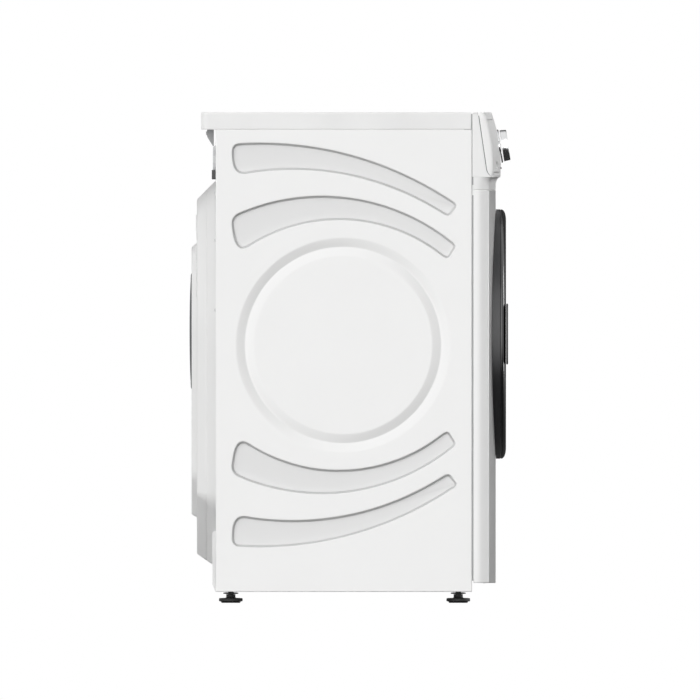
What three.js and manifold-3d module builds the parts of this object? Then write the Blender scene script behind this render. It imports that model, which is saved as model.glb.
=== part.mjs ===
// A compact front-loading clothes dryer with a heat pump in its base.
// Millimetres, +Z up. The front faces -Y, +X is the machine's right, and the origin is
// on the floor under the middle of the machine.
import * as THREE from 'three';
import { mergeVertices } from 'three/addons/utils/BufferGeometryUtils.js';
import Module from 'manifold-3d';

const wasm = await Module();
wasm.setup();

// Overall size
const WIDTH = 595;
const HEIGHT = 850;
const HALF = WIDTH / 2;

// Walls and clearances
const SHEET = 1.6;
const SHELL = 2.5;
const GAP = 0.4;
const BEYOND = 40;

// Cabinet
const WORKTOP_THICKNESS = 30;
const WORKTOP_FRONT = -210;
const WORKTOP_REAR = 257.7;
const PANEL_BOTTOM = 19.2;
const PANEL_TOP = HEIGHT - WORKTOP_THICKNESS - GAP;
const PANEL_FRONT = -211.2;
const PANEL_REAR = 232.7;
const FLANGE = 22;
const FRONT_FLANGE = 12;
const BACK_PLATE = 230.6;
const BASE_REAR = 238.4;
const BASE_REAR_TOP = 124.5;
const BACK_FOLD_Y = 237.6;
const INLET = { x: 236, z: 142 };

// Cover of the warm air duct on the back, with its raised middle and the cap over the bearing
const DUCT = { radius: 258, shoulder: 190, bottomHalf: 96, bottom: 65, face: 263.9, edge: 31 };
const DUCT_MIDDLE = {
  radius: 154, shoulder: 230, bottomHalf: 80, bottom: 148, face: 273.1, edge: 9,
};
const BEARING_CAP = { radius: 99.6, z: 470.8, rise: 4.4 };

// Curved front: a shallow bulge across the width with rounded outer corners
const FRONT_Y = -252.3;
const FRONT_BACK_Y = -212;
const BULGE = 11.5;
const CORNER = 13.5;
const FACE_HALF = HALF - CORNER;
const FRONT_PANEL_BOTTOM = 34.6;
const FRONT_PANEL_TOP = 715;

// Control strip, which leans back towards its top
const STRIP_BOTTOM = 715.8;
const FASCIA_Y = -260.8;
const FASCIA_LEAN_START = 760;
const FASCIA_LEAN_RADIUS = 261;
const LEAN_DEGREES = 8.5;
const LEAN = THREE.MathUtils.degToRad(LEAN_DEGREES);

// Door
const DOOR_Z = 465.7;
const DOOR_RADIUS = 216;
const DOOR_FRONT = -270.2;
const DOOR_BACK = -253.6;
const DOOR_OPENING = 180;
const HINGE = { x: 223, y: -254 };

// Drum, belt and drive
const AXIS_Z = 471;
const DRUM_RADIUS = 274;
const DRUM_FRONT = -178;
const DRUM_REAR = 206;
const MOTOR = { x: 165, z: 110 };
const PULLEY_RADIUS = 13;
const BELT_Y = 90;
const BELT_WIDTH = 10;
const BELT_THICKNESS = 3;
const BELT_GAP = 1;
const IDLER_RADIUS = 14;
const ROLLER_RADIUS = 20;
const ROLLER_ANGLE = THREE.MathUtils.degToRad(32);

// Side panel pressings: four curved recesses mirrored about a round bead
const PRESSING_Z = 446.6;
const PRESSING_Y = 11.9;
const RECESS_DEPTH = 7;
const BEAD_RADIUS = 170;
const BEAD_HALF_WIDTH = 16;
const BEAD_DEPTH = 4;
const RECESSES = [
  {
    upper: { y: 155, z: 200, radius: 597, rear: 205, front: -187 },
    lower: { y: 99, z: 269, radius: 481, rear: 203, front: -171 },
  },
  {
    upper: { y: 49, z: 344, radius: 361, rear: 207, front: -185 },
    lower: { y: 19, z: 376, radius: 287, rear: 197, front: -169 },
  },
];

// Water tank drawer, display and buttons, on the control strip
const TANK = { left: -284, right: -120, bottom: 746, top: 836 };
const TANK_BOX = {
  left: TANK.left + 2, right: TANK.right - 2, front: -234, rear: 140, bottom: 752, top: 813,
};
const DISPLAY = { left: 62, right: 196, bottom: 774, top: 812 };
const CONTROL_Z = 791;
const KNOB_RADIUS = 27.2;
const BUTTONS = [
  { name: 'power_button', x: -80, z: CONTROL_Z, radius: 9 },
  { name: 'start_button', x: 236, z: CONTROL_Z, radius: 13 },
  { name: 'option_button_1', x: 92, z: 757, radius: 6 },
  { name: 'option_button_2', x: 129, z: 757, radius: 6 },
  { name: 'option_button_3', x: 166, z: 757, radius: 6 },
];

// Heat pump in the base
const EXCHANGER = { left: -212, right: 76, front: -110, rear: 60, bottom: 36, top: 168 };
const COMPRESSOR = { x: -196, y: 146 };

// Lint filter, in the lower edge of the loading mouth
const FILTER = { half: 73, front: -212, rear: -196, bottom: 211, top: 294 };

// Sides of a round, by size; rounds on one axis share a count so that their flats line up
const LARGE = 36;
const MEDIUM = 24;
const SMALL = 12;

// Feet
const FEET_X = 247;
const FOOT_REAR_Y = 206.4;
const FOOT_FRONT_Y = -187.5;

const finish = (color, roughness, metalness = 0) =>
  new THREE.MeshStandardMaterial({ color, roughness, metalness });

const MATERIALS = {
  paint: () => finish('#f0f0ef', 0.38),
  laminate: () => finish('#f0f0ef', 0.36),
  whitePlastic: () => finish('#f2f2f1', 0.42),
  greyPlastic: () => finish('#66686a', 0.6),
  blackPlastic: () => finish('#17181a', 0.4),
  glossBlack: () => finish('#0f1012', 0.12),
  tintedGlass: () => finish('#1c2024', 0.05),
  clearGlass: () => finish('#b9c4c6', 0.06),
  rubber: () => finish('#1a1a1b', 0.8),
  silver: () => finish('#c9cbcd', 0.28, 0.85),
  steel: () => finish('#b7babd', 0.35, 0.9),
  galvanised: () => finish('#a9adb0', 0.5, 0.8),
  felt: () => finish('#8f8a80', 0.95),
  board: () => finish('#2f5d3a', 0.6),
  aluminium: () => finish('#c7cacc', 0.4, 0.9),
};

const machine = new THREE.Group();

// ---- Solids ----

function closed(geometry) {
  const bare = new THREE.BufferGeometry();
  bare.setAttribute('position', geometry.getAttribute('position').clone());
  bare.setIndex(geometry.index);
  const merged = mergeVertices(bare, 1e-4);
  const kept = [];
  const { array } = merged.index;
  for (let i = 0; i < array.length; i += 3) {
    const [a, b, c] = [array[i], array[i + 1], array[i + 2]];
    if (a !== b && b !== c && c !== a) kept.push(a, b, c);
  }
  merged.setIndex(kept);
  if (signedVolume(merged) < 0) merged.setIndex(kept.reverse());
  return merged;
}

function signedVolume(geometry) {
  const position = geometry.getAttribute('position');
  const { array } = geometry.index;
  const corner = [new THREE.Vector3(), new THREE.Vector3(), new THREE.Vector3()];
  let volume = 0;
  for (let i = 0; i < array.length; i += 3) {
    corner.forEach((point, k) => point.fromBufferAttribute(position, array[i + k]));
    volume += corner[0].dot(corner[1].clone().cross(corner[2])) / 6;
  }
  return volume;
}

function toSolid(geometry) {
  const mesh = closed(geometry);
  return new wasm.Manifold(new wasm.Mesh({
    numProp: 3,
    vertProperties: new Float32Array(mesh.getAttribute('position').array),
    triVerts: new Uint32Array(mesh.index.array),
  }));
}

function toGeometry(solid) {
  const { vertProperties, triVerts } = solid.getMesh();
  const geometry = new THREE.BufferGeometry();
  geometry.setAttribute('position', new THREE.BufferAttribute(vertProperties, 3));
  geometry.setIndex(new THREE.BufferAttribute(triVerts, 1));
  return geometry;
}

function combine(operation, first, others) {
  const start = toSolid(first);
  return toGeometry(others.reduce((solid, other) => solid[operation](toSolid(other)), start));
}

const cut = (base, ...tools) => combine('subtract', base, tools);
const fuse = (base, ...others) => combine('add', base, others);
const common = (base, ...others) => combine('intersect', base, others);

function block(x0, x1, y0, y1, z0, z1) {
  const box = new THREE.BoxGeometry(x1 - x0, y1 - y0, z1 - z0);
  return box.translate((x0 + x1) / 2, (y0 + y1) / 2, (z0 + z1) / 2);
}

const toShape = (outline) =>
  outline instanceof THREE.Shape
    ? outline
    : new THREE.Shape(outline.map(([a, b]) => new THREE.Vector2(a, b)));

function prism(outline, depth, options = {}) {
  const settings = { depth, bevelEnabled: false, curveSegments: 10, ...options };
  return new THREE.ExtrudeGeometry(toShape(outline), settings);
}

// An outline in (x, y) raised along Z
const alongZ = (outline, z0, z1, options) =>
  prism(outline, z1 - z0, options).translate(0, 0, z0);

// An outline in (y, z) run along X
function alongX(outline, x0, x1, options) {
  const turn = new THREE.Matrix4().set(0, 0, 1, x0, 1, 0, 0, 0, 0, 1, 0, 0, 0, 0, 0, 1);
  return prism(outline, x1 - x0, options).applyMatrix4(turn);
}

// An outline in (x, z) run along Y
function alongY(outline, y0, y1, options) {
  const turn = new THREE.Matrix4().set(1, 0, 0, 0, 0, 0, 1, y0, 0, 1, 0, 0, 0, 0, 0, 1);
  return prism(outline, y1 - y0, options).applyMatrix4(turn);
}

// A closed (radius, y) profile turned about the Y axis
function turned(profile, segments = LARGE) {
  const points = profile.map(([radius, y]) => new THREE.Vector2(radius, y));
  points.push(points[0].clone());
  return new THREE.LatheGeometry(points, segments);
}

const ring = (inner, outer, y0, y1, segments) =>
  turned([[inner, y0], [outer, y0], [outer, y1], [inner, y1]], segments);

function rod(radius, y0, y1, segments = SMALL) {
  return new THREE.CylinderGeometry(radius, radius, y1 - y0, segments)
    .translate(0, (y0 + y1) / 2, 0);
}

const upright = (geometry) => geometry.rotateX(Math.PI / 2);

// A cutter that runs right through the front or the back of the cabinet
const THROUGH_FRONT = [-320, -200];
const THROUGH_BACK = [200, 260];

function piece(name, geometry, material, parent = machine) {
  const body = closed(geometry);
  body.computeVertexNormals();
  const mesh = new THREE.Mesh(body, MATERIALS[material]());
  mesh.name = name;
  parent.add(mesh);
  return mesh;
}

// ---- Front envelope ----

const faceSetback = (x) => BULGE * (x / FACE_HALF) ** 2;

// Plan outline of the front, with the middle of the face at y = 0 and the rear at +Y
function frontOutline(inset, depth) {
  const faceSteps = 10;
  const cornerSteps = 3;
  const centreY = BULGE + CORNER;
  const radius = CORNER - inset;
  const points = [];
  for (let i = 0; i <= faceSteps; i += 1) {
    const x = FACE_HALF * (-1 + (2 * i) / faceSteps);
    points.push([x, faceSetback(x) + inset]);
  }
  const corner = [];
  for (let i = 1; i <= cornerSteps; i += 1) {
    const angle = (Math.PI / 2) * (i / cornerSteps);
    corner.push([FACE_HALF + radius * Math.sin(angle), centreY - radius * Math.cos(angle)]);
  }
  const mirrored = corner.map(([x, y]) => [-x, y]).reverse();
  return [...points, ...corner, [HALF - inset, depth], [-(HALF - inset), depth], ...mirrored];
}

function frontBlock(inset, z0, z1) {
  const depth = FRONT_BACK_Y - FRONT_Y + (inset > 0 ? BEYOND : 0);
  return alongZ(frontOutline(inset, depth), z0, z1).translate(0, FRONT_Y, 0);
}

// How far the middle of the control strip has leaned back at a height
function lean(z) {
  const rise = Math.max(0, z - FASCIA_LEAN_START);
  return FASCIA_LEAN_RADIUS - Math.sqrt(FASCIA_LEAN_RADIUS ** 2 - rise ** 2);
}

const fasciaY = (x, z) => FASCIA_Y + lean(z) + faceSetback(x);

// The control strip's outer volume, its rear running on past the cabinet's front edge
function stripBlock(inset, z0, z1) {
  const steps = 4;
  const geometry = alongZ(frontOutline(inset, BEYOND * 3), z0, z1, { steps });
  const position = geometry.getAttribute('position');
  for (let i = 0; i < position.count; i += 1) {
    position.setY(i, position.getY(i) + FASCIA_Y + lean(position.getZ(i)));
  }
  return geometry;
}

// ---- Cabinet ----

const widened = (arc, grow, side) => ({
  ...arc,
  radius: arc.radius + side * grow,
  rear: arc.rear + grow,
  front: arc.front - grow,
});

// One recess in (y, z), its two long edges pushed apart by grow
function recessOutline(recess, mirror, grow) {
  const cornerCut = 11;
  const upper = widened(recess.upper, grow, 1);
  const lower = widened(recess.lower, grow, -1);
  const at = (arc, y) => arc.z + Math.sqrt(arc.radius ** 2 - (y - arc.y) ** 2);
  const place = (y, z) => [y, mirror ? 2 * PRESSING_Z - z : z];
  const shape = new THREE.Shape();
  const edge = (arc, from, to) => {
    const steps = 4;
    for (let i = 0; i <= steps; i += 1) {
      const y = from + ((to - from) * i) / steps;
      shape.lineTo(...place(y, at(arc, y)));
    }
  };
  const bend = (arc, y, next) => shape.quadraticCurveTo(...place(y, at(arc, y)), ...next);
  const lerp = (a, b, t) => a + (b - a) * t;
  const endPoint = (fromArc, fromY, toArc, toY, t) =>
    place(lerp(fromY, toY, t), lerp(at(fromArc, fromY), at(toArc, toY), t));
  const share = 0.3;

  shape.moveTo(...place(upper.rear - cornerCut, at(upper, upper.rear - cornerCut)));
  edge(upper, upper.rear - cornerCut, upper.front + cornerCut);
  bend(upper, upper.front, endPoint(upper, upper.front, lower, lower.front, share));
  shape.lineTo(...endPoint(upper, upper.front, lower, lower.front, 1 - share));
  bend(lower, lower.front, place(lower.front + cornerCut, at(lower, lower.front + cornerCut)));
  edge(lower, lower.front + cornerCut, lower.rear - cornerCut);
  bend(lower, lower.rear, endPoint(lower, lower.rear, upper, upper.rear, share));
  shape.lineTo(...endPoint(lower, lower.rear, upper, upper.rear, 1 - share));
  bend(upper, upper.rear, place(upper.rear - cornerCut, at(upper, upper.rear - cornerCut)));
  return shape;
}

// The left panel, with its outer face on -X
function sidePanel() {
  const outer = -HALF;
  const inner = outer + SHEET;
  let panel = alongZ([
    [outer, PANEL_FRONT],
    [outer + FRONT_FLANGE, PANEL_FRONT],
    [outer + FRONT_FLANGE, PANEL_FRONT + SHEET],
    [inner, PANEL_FRONT + SHEET],
    [inner, PANEL_REAR - SHEET],
    [outer + FLANGE, PANEL_REAR - SHEET],
    [outer + FLANGE, PANEL_REAR],
    [outer, PANEL_REAR],
  ], PANEL_BOTTOM, PANEL_TOP);
  const floor = outer + RECESS_DEPTH;
  const settings = { curveSegments: 2 };
  for (const recess of RECESSES) {
    for (const mirror of [false, true]) {
      const pan = recessOutline(recess, mirror, SHEET);
      const hollow = recessOutline(recess, mirror, 0);
      panel = cut(
        fuse(panel, alongX(pan, outer + SHEET / 2, floor + SHEET, settings)),
        alongX(hollow, outer - 1, floor, settings),
      );
    }
  }
  const sideways = (geometry) =>
    geometry.rotateZ(-Math.PI / 2).translate(outer, PRESSING_Y, PRESSING_Z);
  const ridge = [
    [BEAD_RADIUS - BEAD_HALF_WIDTH - SHEET, SHEET / 2],
    [BEAD_RADIUS, BEAD_DEPTH + SHEET],
    [BEAD_RADIUS + BEAD_HALF_WIDTH + SHEET, SHEET / 2],
  ];
  const valley = [
    [BEAD_RADIUS - BEAD_HALF_WIDTH, -0.01],
    [BEAD_RADIUS, BEAD_DEPTH],
    [BEAD_RADIUS + BEAD_HALF_WIDTH, -0.01],
  ];
  return cut(fuse(panel, sideways(turned(ridge, MEDIUM))), sideways(turned(valley, MEDIUM)));
}

function addSidePanels() {
  const left = sidePanel();
  piece('side_panel_left', left, 'paint');
  piece('side_panel_right', left.clone().scale(-1, 1, 1), 'paint');
}

function addTopPanel() {
  const edge = 2.5;
  const side = HALF - edge;
  const front = WORKTOP_FRONT + edge;
  const rear = WORKTOP_REAR - edge;
  const outline = [[-side, front], [side, front], [side, rear], [-side, rear]];
  const bevel = {
    bevelEnabled: true,
    bevelThickness: edge,
    bevelSize: edge,
    bevelSegments: 2,
  };
  const bottom = HEIGHT - WORKTOP_THICKNESS + edge;
  piece('top_panel', alongZ(outline, bottom, HEIGHT - edge, bevel), 'laminate');
}

// The base tray, with a rear wall that stands out behind the back panel
function addBasePan() {
  const bottom = PANEL_BOTTOM + GAP;
  const rim = 46;
  const wall = 3;
  const side = HALF - SHEET - GAP;
  const front = PANEL_FRONT + SHEET + GAP;
  const rear = 226;
  const narrow = HALF - FLANGE - 2;
  const inner = BASE_REAR - 6.2;
  const bevel = 3;
  const rearWall = alongX([
    [rear - 2, bottom],
    [inner + 0.5, bottom],
    [BASE_REAR, bottom + 4 * bevel],
    [BASE_REAR, BASE_REAR_TOP - bevel],
    [BASE_REAR - bevel, BASE_REAR_TOP],
    [inner, BASE_REAR_TOP],
    [inner, rim - 6],
    [rear - 2, rim - 6],
  ], -narrow, narrow);
  const tray = cut(
    block(-side, side, front, rear, bottom, rim),
    block(-side + wall, side - wall, front + wall, rear - wall, bottom + wall, rim + 1),
  );
  const footBore = 5.8;
  const bores = [-1, 1].flatMap((sx) =>
    [FOOT_FRONT_Y, FOOT_REAR_Y].map((y) =>
      upright(rod(footBore, -10, 10)).translate(sx * FEET_X, y, bottom)));
  piece('base_pan', cut(fuse(tray, rearWall), ...bores), 'whitePlastic');
}

function addBackPanel() {
  const side = HALF - SHEET - 1;
  const foot = 48;
  const plate = block(-side, side, BACK_PLATE - SHEET, BACK_PLATE, foot, PANEL_TOP - 1);
  const fold = { half: HALF - FLANGE - 3, bottom: 733, top: 795, slope: 6 };
  const band = alongX([
    [BACK_PLATE - 1, fold.bottom],
    [BACK_FOLD_Y, fold.bottom + fold.slope],
    [BACK_FOLD_Y, fold.top - fold.slope],
    [BACK_PLATE - 1, fold.top],
  ], -fold.half, fold.half);
  const bearingHole = rod(31, ...THROUGH_BACK, MEDIUM).translate(0, 0, AXIS_Z);
  const airHole = rod(20, ...THROUGH_BACK);
  const airCircle = 110;
  const airHoles = [];
  for (let i = 0; i < 8; i += 1) {
    const angle = (i * Math.PI) / 4;
    const [x, z] = [airCircle * Math.cos(angle), AXIS_Z + airCircle * Math.sin(angle)];
    airHoles.push(airHole.clone().translate(x, 0, z));
  }
  const cordHole = rod(7, ...THROUGH_BACK).translate(INLET.x, 0, INLET.z);
  piece('back_panel', cut(fuse(plate, band), bearingHole, cordHole, ...airHoles), 'galvanised');
}

function addRearTopRail() {
  const half = 262;
  const inner = BACK_FOLD_Y - 1.8;
  const outer = 247.6;
  const bottom = 790.6;
  const top = PANEL_TOP;
  const outline = [
    [inner, bottom],
    [inner + 1.4, bottom],
    [outer, bottom + 16.4],
    [outer, top],
    [inner, top],
  ];
  piece('rear_top_rail', alongX(outline, -half, half), 'greyPlastic');
}

// Outline of the rear duct cover: round over the drum, straight sides, tapered bottom
function ductOutline({ radius, shoulder, bottomHalf, bottom }) {
  const round = 30;
  const cornerIn = 22;
  const shape = new THREE.Shape();
  shape.absarc(0, AXIS_Z, radius, 0, Math.PI, false);
  shape.lineTo(-radius, shoulder + round);
  shape.quadraticCurveTo(-radius, shoulder, -radius + cornerIn, shoulder - cornerIn);
  shape.lineTo(-bottomHalf, bottom);
  shape.lineTo(bottomHalf, bottom);
  shape.lineTo(radius - cornerIn, shoulder - cornerIn);
  shape.quadraticCurveTo(radius, shoulder, radius, shoulder + round);
  return shape;
}

// A plate on the back with its edge chamfered in two steps
function ductLevel(level, front, inset) {
  const { face, edge } = level;
  const bevel = {
    bevelEnabled: true,
    bevelThickness: edge,
    bevelSize: edge - inset * 0.5,
    bevelOffset: -edge - inset * 0.5,
    bevelSegments: 2,
    curveSegments: 7,
  };
  return alongY(ductOutline(level), front - edge, face - edge - inset, bevel);
}

function addRearDuctCover() {
  const front = BACK_PLATE + GAP;
  const wall = 2.4;
  const keep = block(-HALF, HALF, front, DUCT_MIDDLE.face + BEYOND, 0, HEIGHT);
  const middleFront = 245;
  const build = (inset) => fuse(
    ductLevel(DUCT, front, inset),
    ductLevel(DUCT_MIDDLE, middleFront, inset),
  );
  const overBase = block(-HALF, HALF, 0, BASE_REAR + GAP, 0, BASE_REAR_TOP + GAP);
  const cover = cut(common(cut(build(0), build(wall)), keep), overBase);
  piece('rear_duct_cover', cover, 'whitePlastic');
}

function addBearingCap() {
  const { radius, z, rise } = BEARING_CAP;
  const face = DUCT_MIDDLE.face + GAP;
  const profile = [
    [0, face],
    [radius, face],
    [radius, face + 1.2],
    [radius - 5.6, face + 3],
    [radius * 0.4, face + rise],
    [0, face + rise],
  ];
  piece('bearing_cap', turned(profile).translate(0, 0, z), 'greyPlastic');
}

function addRearBearing() {
  const bore = 14;
  const boss = 30;
  const flange = 44;
  const inside = BACK_PLATE - 8.6;
  const seat = BACK_PLATE + GAP;
  const end = 246;
  const bearing = turned([
    [bore, inside],
    [boss, inside],
    [boss, seat],
    [flange, seat],
    [flange, seat + 3],
    [boss, end],
    [bore, end],
  ], MEDIUM);
  piece('rear_bearing', bearing.translate(0, 0, AXIS_Z), 'steel');
}

function addMainsInlet() {
  const front = BACK_PLATE + GAP;
  const bore = 4.5;
  const collar = 7.5;
  const flange = 13;
  const length = 13;
  const profile = [
    [bore, front],
    [flange, front],
    [flange, front + 3],
    [collar + 1.5, front + 5],
    [collar, front + length],
    [bore, front + length],
  ];
  piece('mains_inlet', turned(profile, SMALL).translate(INLET.x, 0, INLET.z), 'blackPlastic');
}

// ---- Front ----

const LATCH = { x: -199, half: 5, halfHeight: 9 };
const FLAP = { left: 96, right: 236, bottom: 62, top: 172 };

function addFrontPanel() {
  const outside = frontBlock(0, FRONT_PANEL_BOTTOM, FRONT_PANEL_TOP);
  const inside = frontBlock(SHEET, FRONT_PANEL_BOTTOM + SHEET, FRONT_PANEL_TOP - SHEET);
  const collarEnd = -231;
  const collar = rod(DOOR_OPENING + SHEET, FRONT_Y - GAP, collarEnd, LARGE)
    .translate(0, 0, DOOR_Z);
  const opening = rod(DOOR_OPENING, ...THROUGH_FRONT, LARGE).translate(0, 0, DOOR_Z);
  const slotPlay = { side: 5, end: 4 };
  const slot = block(
    LATCH.x - LATCH.half - slotPlay.side, LATCH.x + LATCH.half + slotPlay.side, ...THROUGH_FRONT,
    DOOR_Z - LATCH.halfHeight - slotPlay.end, DOOR_Z + LATCH.halfHeight + slotPlay.end,
  );
  const flapHole = block(FLAP.left, FLAP.right, ...THROUGH_FRONT, FLAP.bottom, FLAP.top);
  const sheet = fuse(cut(outside, inside), common(collar, outside));
  piece('front_panel', cut(sheet, opening, slot, flapHole), 'paint');

  const play = 1;
  const flapArea = block(
    FLAP.left + play, FLAP.right - play, ...THROUGH_FRONT,
    FLAP.bottom + play, FLAP.top - play,
  );
  piece('service_flap', common(cut(outside, frontBlock(3, 0, HEIGHT)), flapArea), 'paint');
}

// Side outlines, in (y, z): the seam leans back and turns forward at its foot
const SEAM = [[-221.1, HEIGHT], [-235.8, 750], [-238.5, 743.5], [-247.6, 737], [-253.5, 731.7]];

function openWindow(bounds, margin) {
  return block(
    bounds.left - margin, bounds.right + margin, ...THROUGH_FRONT,
    bounds.bottom - margin, bounds.top + margin,
  );
}

function addControlFrame() {
  const rear = FRONT_BACK_Y;
  const neckFront = FRONT_Y - 1;
  const neckTop = SEAM.at(-1)[1];
  const overlap = 0.7;
  const outline = [[rear, HEIGHT], ...SEAM, [neckFront, neckTop - 1.7], [neckFront, STRIP_BOTTOM],
    [rear, STRIP_BOTTOM]];
  const solid = common(stripBlock(0, STRIP_BOTTOM, HEIGHT), alongX(outline, -HALF, HALF));
  const neck = common(solid, frontBlock(0, STRIP_BOTTOM, neckTop));
  const above = (back) => block(-HALF, HALF, THROUGH_FRONT[0], back, neckTop - overlap, HEIGHT);
  const upper = common(solid, above(rear));
  const hollow = stripBlock(SHELL, STRIP_BOTTOM + SHELL, HEIGHT - SHELL);
  const neckHollow = frontBlock(SHELL, STRIP_BOTTOM + SHELL, neckTop - overlap);
  const room = fuse(common(hollow, above(0)), neckHollow);
  piece('control_frame', cut(fuse(upper, neck), room), 'whitePlastic');
}

function fasciaOutline() {
  const behind = SEAM.map(([y, z]) => [y - GAP, z]);
  const lip = [FASCIA_Y - 1, 737.8];
  return [...behind, lip, [FASCIA_Y - 1, HEIGHT]];
}

function onFascia(geometry, x, z) {
  return geometry.rotateX(-LEAN).translate(x, fasciaY(x, z), z);
}

function addControlFascia() {
  const outer = common(
    stripBlock(0, STRIP_BOTTOM, HEIGHT),
    alongX(fasciaOutline(), -HALF, HALF),
  );
  const roomBottom = 742;
  const room = common(
    stripBlock(SHELL, roomBottom, HEIGHT - SHELL),
    block(-HALF, HALF, THROUGH_FRONT[0], 0, roomBottom, HEIGHT),
  );
  const shell = cut(outer, room);
  const bore = (radius) => rod(radius, -30, 30);
  const knobHole = onFascia(bore(12), 0, CONTROL_Z);
  const buttonHoles = BUTTONS.map(({ x, z, radius }) => onFascia(bore(radius + 0.5), x, z));
  const drawerPlay = 0.8;
  const fascia = cut(
    shell, openWindow(TANK, drawerPlay), openWindow(DISPLAY, GAP), knobHole, ...buttonHoles,
  );
  piece('control_fascia', fascia, 'whitePlastic');

  const pane = cut(outer, stripBlock(3, STRIP_BOTTOM, HEIGHT + 1));
  piece('display_window', common(pane, openWindow(DISPLAY, 0)), 'tintedGlass');

  const middle = (TANK.left + TANK.right) / 2;
  const grip = block(
    middle - 24, middle + 24, THROUGH_FRONT[0], -253, TANK.bottom - 1, TANK.bottom + 7,
  );
  const joiner = block(
    TANK.left + 12, TANK.right - 12, -252, TANK_BOX.front - GAP, TANK.bottom + 22, TANK_BOX.top - 1,
  );
  const inside = common(joiner, stripBlock(1, STRIP_BOTTOM, HEIGHT));
  const drawerFront = fuse(
    common(cut(outer, stripBlock(SHELL, STRIP_BOTTOM, HEIGHT + 1)), openWindow(TANK, 0)),
    inside,
  );
  piece('water_tank_front', cut(drawerFront, grip), 'whitePlastic');
}

function addWaterTank() {
  const wall = 2.5;
  const { left, right, front, rear, bottom, top } = TANK_BOX;
  const outer = block(left, right, front, rear, bottom, top);
  const inner = block(
    left + wall, right - wall, front + wall, rear - wall, bottom + wall, top - wall,
  );
  const filler = block(-240, -170, 40, 120, top - 13, top + 17);
  piece('water_tank', cut(outer, inner, filler), 'clearGlass');
}

function addProgramKnob() {
  const group = new THREE.Group();
  group.position.set(0, fasciaY(0, CONTROL_Z), CONTROL_Z);
  group.rotation.x = -LEAN;
  machine.add(group);
  const bezelInner = 21;
  const bezelOuter = KNOB_RADIUS + 1.8;
  const bezelFront = -3.4;
  const bezel = turned([
    [bezelInner, -0.6],
    [bezelOuter, -0.6],
    [bezelOuter, bezelFront + 1.2],
    [bezelOuter - 1.4, bezelFront],
    [bezelInner, bezelFront],
  ], MEDIUM);
  piece('knob_bezel', bezel, 'silver', group);
  const spindle = 8;
  const neck = bezelInner - 2;
  const face = -15.4;
  const knob = turned([
    [0, 6],
    [spindle, 6],
    [spindle, -0.8],
    [neck, -0.8],
    [neck, bezelFront - 0.6],
    [KNOB_RADIUS, bezelFront - 0.6],
    [KNOB_RADIUS, face + 1.2],
    [KNOB_RADIUS - 1.4, face],
    [0, face],
  ], MEDIUM);
  piece('program_knob', knob, 'silver', group);
}

function addButtons() {
  for (const { name, x, z, radius } of BUTTONS) {
    const [back, face, edge] = [5.5, -2.4, 0.8];
    const profile = [[0, back], [radius, back], [radius, face + edge], [radius - edge, face]];
    profile.push([0, face]);
    const button = piece(name, turned(profile, SMALL), 'silver');
    button.position.set(x, fasciaY(x, z), z);
    button.rotation.x = -LEAN;
  }
}

function addControlBoard() {
  piece('control_board', block(-96, 262, -230, -226, 748, 838), 'board');
}

// ---- Door ----

function addDoor() {
  const door = new THREE.Group();
  door.position.set(0, 0, DOOR_Z);
  machine.add(door);
  const wall = 3;
  const shoulder = 18;
  const drop = 7.5;
  const arc = (inset, steps) => {
    const points = [];
    for (let i = 0; i <= steps; i += 1) {
      const angle = (Math.PI / 2) * (i / steps);
      const radius = DOOR_RADIUS - shoulder + (shoulder - inset) * Math.cos(angle);
      points.push([radius, DOOR_FRONT + drop - (drop - inset) * Math.sin(angle)]);
    }
    return points;
  };
  const glassEdge = 156;
  const trim = turned([
    [DOOR_RADIUS, -240],
    ...arc(0, 3),
    [glassEdge + 5, DOOR_FRONT],
    [glassEdge, DOOR_FRONT + 3],
    [glassEdge, -257.4],
    [glassEdge + wall, -257.4],
    [glassEdge + wall, DOOR_FRONT + 5],
    [glassEdge + 8, DOOR_FRONT + wall],
    ...arc(wall, 1).reverse(),
    [DOOR_RADIUS - wall, -240],
  ]);
  const panelRoom = frontBlock(-1.4, 0, HEIGHT).translate(0, 0, -DOOR_Z);
  const leafRoom = block(190, 230, -258.6, -240, -22, 22);
  piece('door_ring', cut(trim, panelRoom, leafRoom), 'glossBlack', door);

  const glass = turned([
    [0, -263],
    [glassEdge - 0.6, -263],
    [glassEdge - 0.6, -267],
    [glassEdge - 3, -267.6],
    [0, -267.6],
  ]);
  piece('door_glass', glass, 'tintedGlass', door);

  const frame = turned([
    [140, -256.8],
    [DOOR_RADIUS - wall - 0.5, -256.8],
    [DOOR_RADIUS - wall - 0.5, DOOR_BACK],
    [172, DOOR_BACK],
    [172, -230],
    [141, -230],
    [141, -242],
    [140, -243],
  ]);
  const leafSlot = block(190, 230, -258.6, -250.6, -19, 19);
  piece('door_inner_frame', cut(frame, leafSlot), 'whitePlastic', door);

  const bowl = turned([
    [0, -216.3],
    [104, -216.3],
    [121, -221],
    [134, -232],
    [139.4, -241],
    [136, -241],
    [131, -234],
    [119, -224],
    [103, -219.3],
    [0, -219.3],
  ], MEDIUM);
  piece('door_bowl', bowl, 'clearGlass', door);
  const seal = turned([[158, -229.6], [170, -229.6], [168, -227], [160, -227]]);
  piece('door_seal', seal, 'rubber', door);
  addHandle(door);
  addLatchHook(door);
  addHinge(door);
}

function addHandle(door) {
  const halfAngle = THREE.MathUtils.degToRad(14.6);
  const inner = 181;
  const outer = 212;
  const shape = new THREE.Shape();
  shape.absarc(0, 0, outer, Math.PI - halfAngle, Math.PI + halfAngle, false);
  shape.absarc(0, 0, inner, Math.PI + halfAngle, Math.PI - halfAngle, true);
  const bevel = {
    bevelEnabled: true,
    bevelThickness: 1.2,
    bevelSize: 1.2,
    bevelSegments: 1,
    curveSegments: 8,
  };
  piece('door_handle', alongY(shape, -272.7, -271.8, bevel), 'blackPlastic', door);
}

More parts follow.
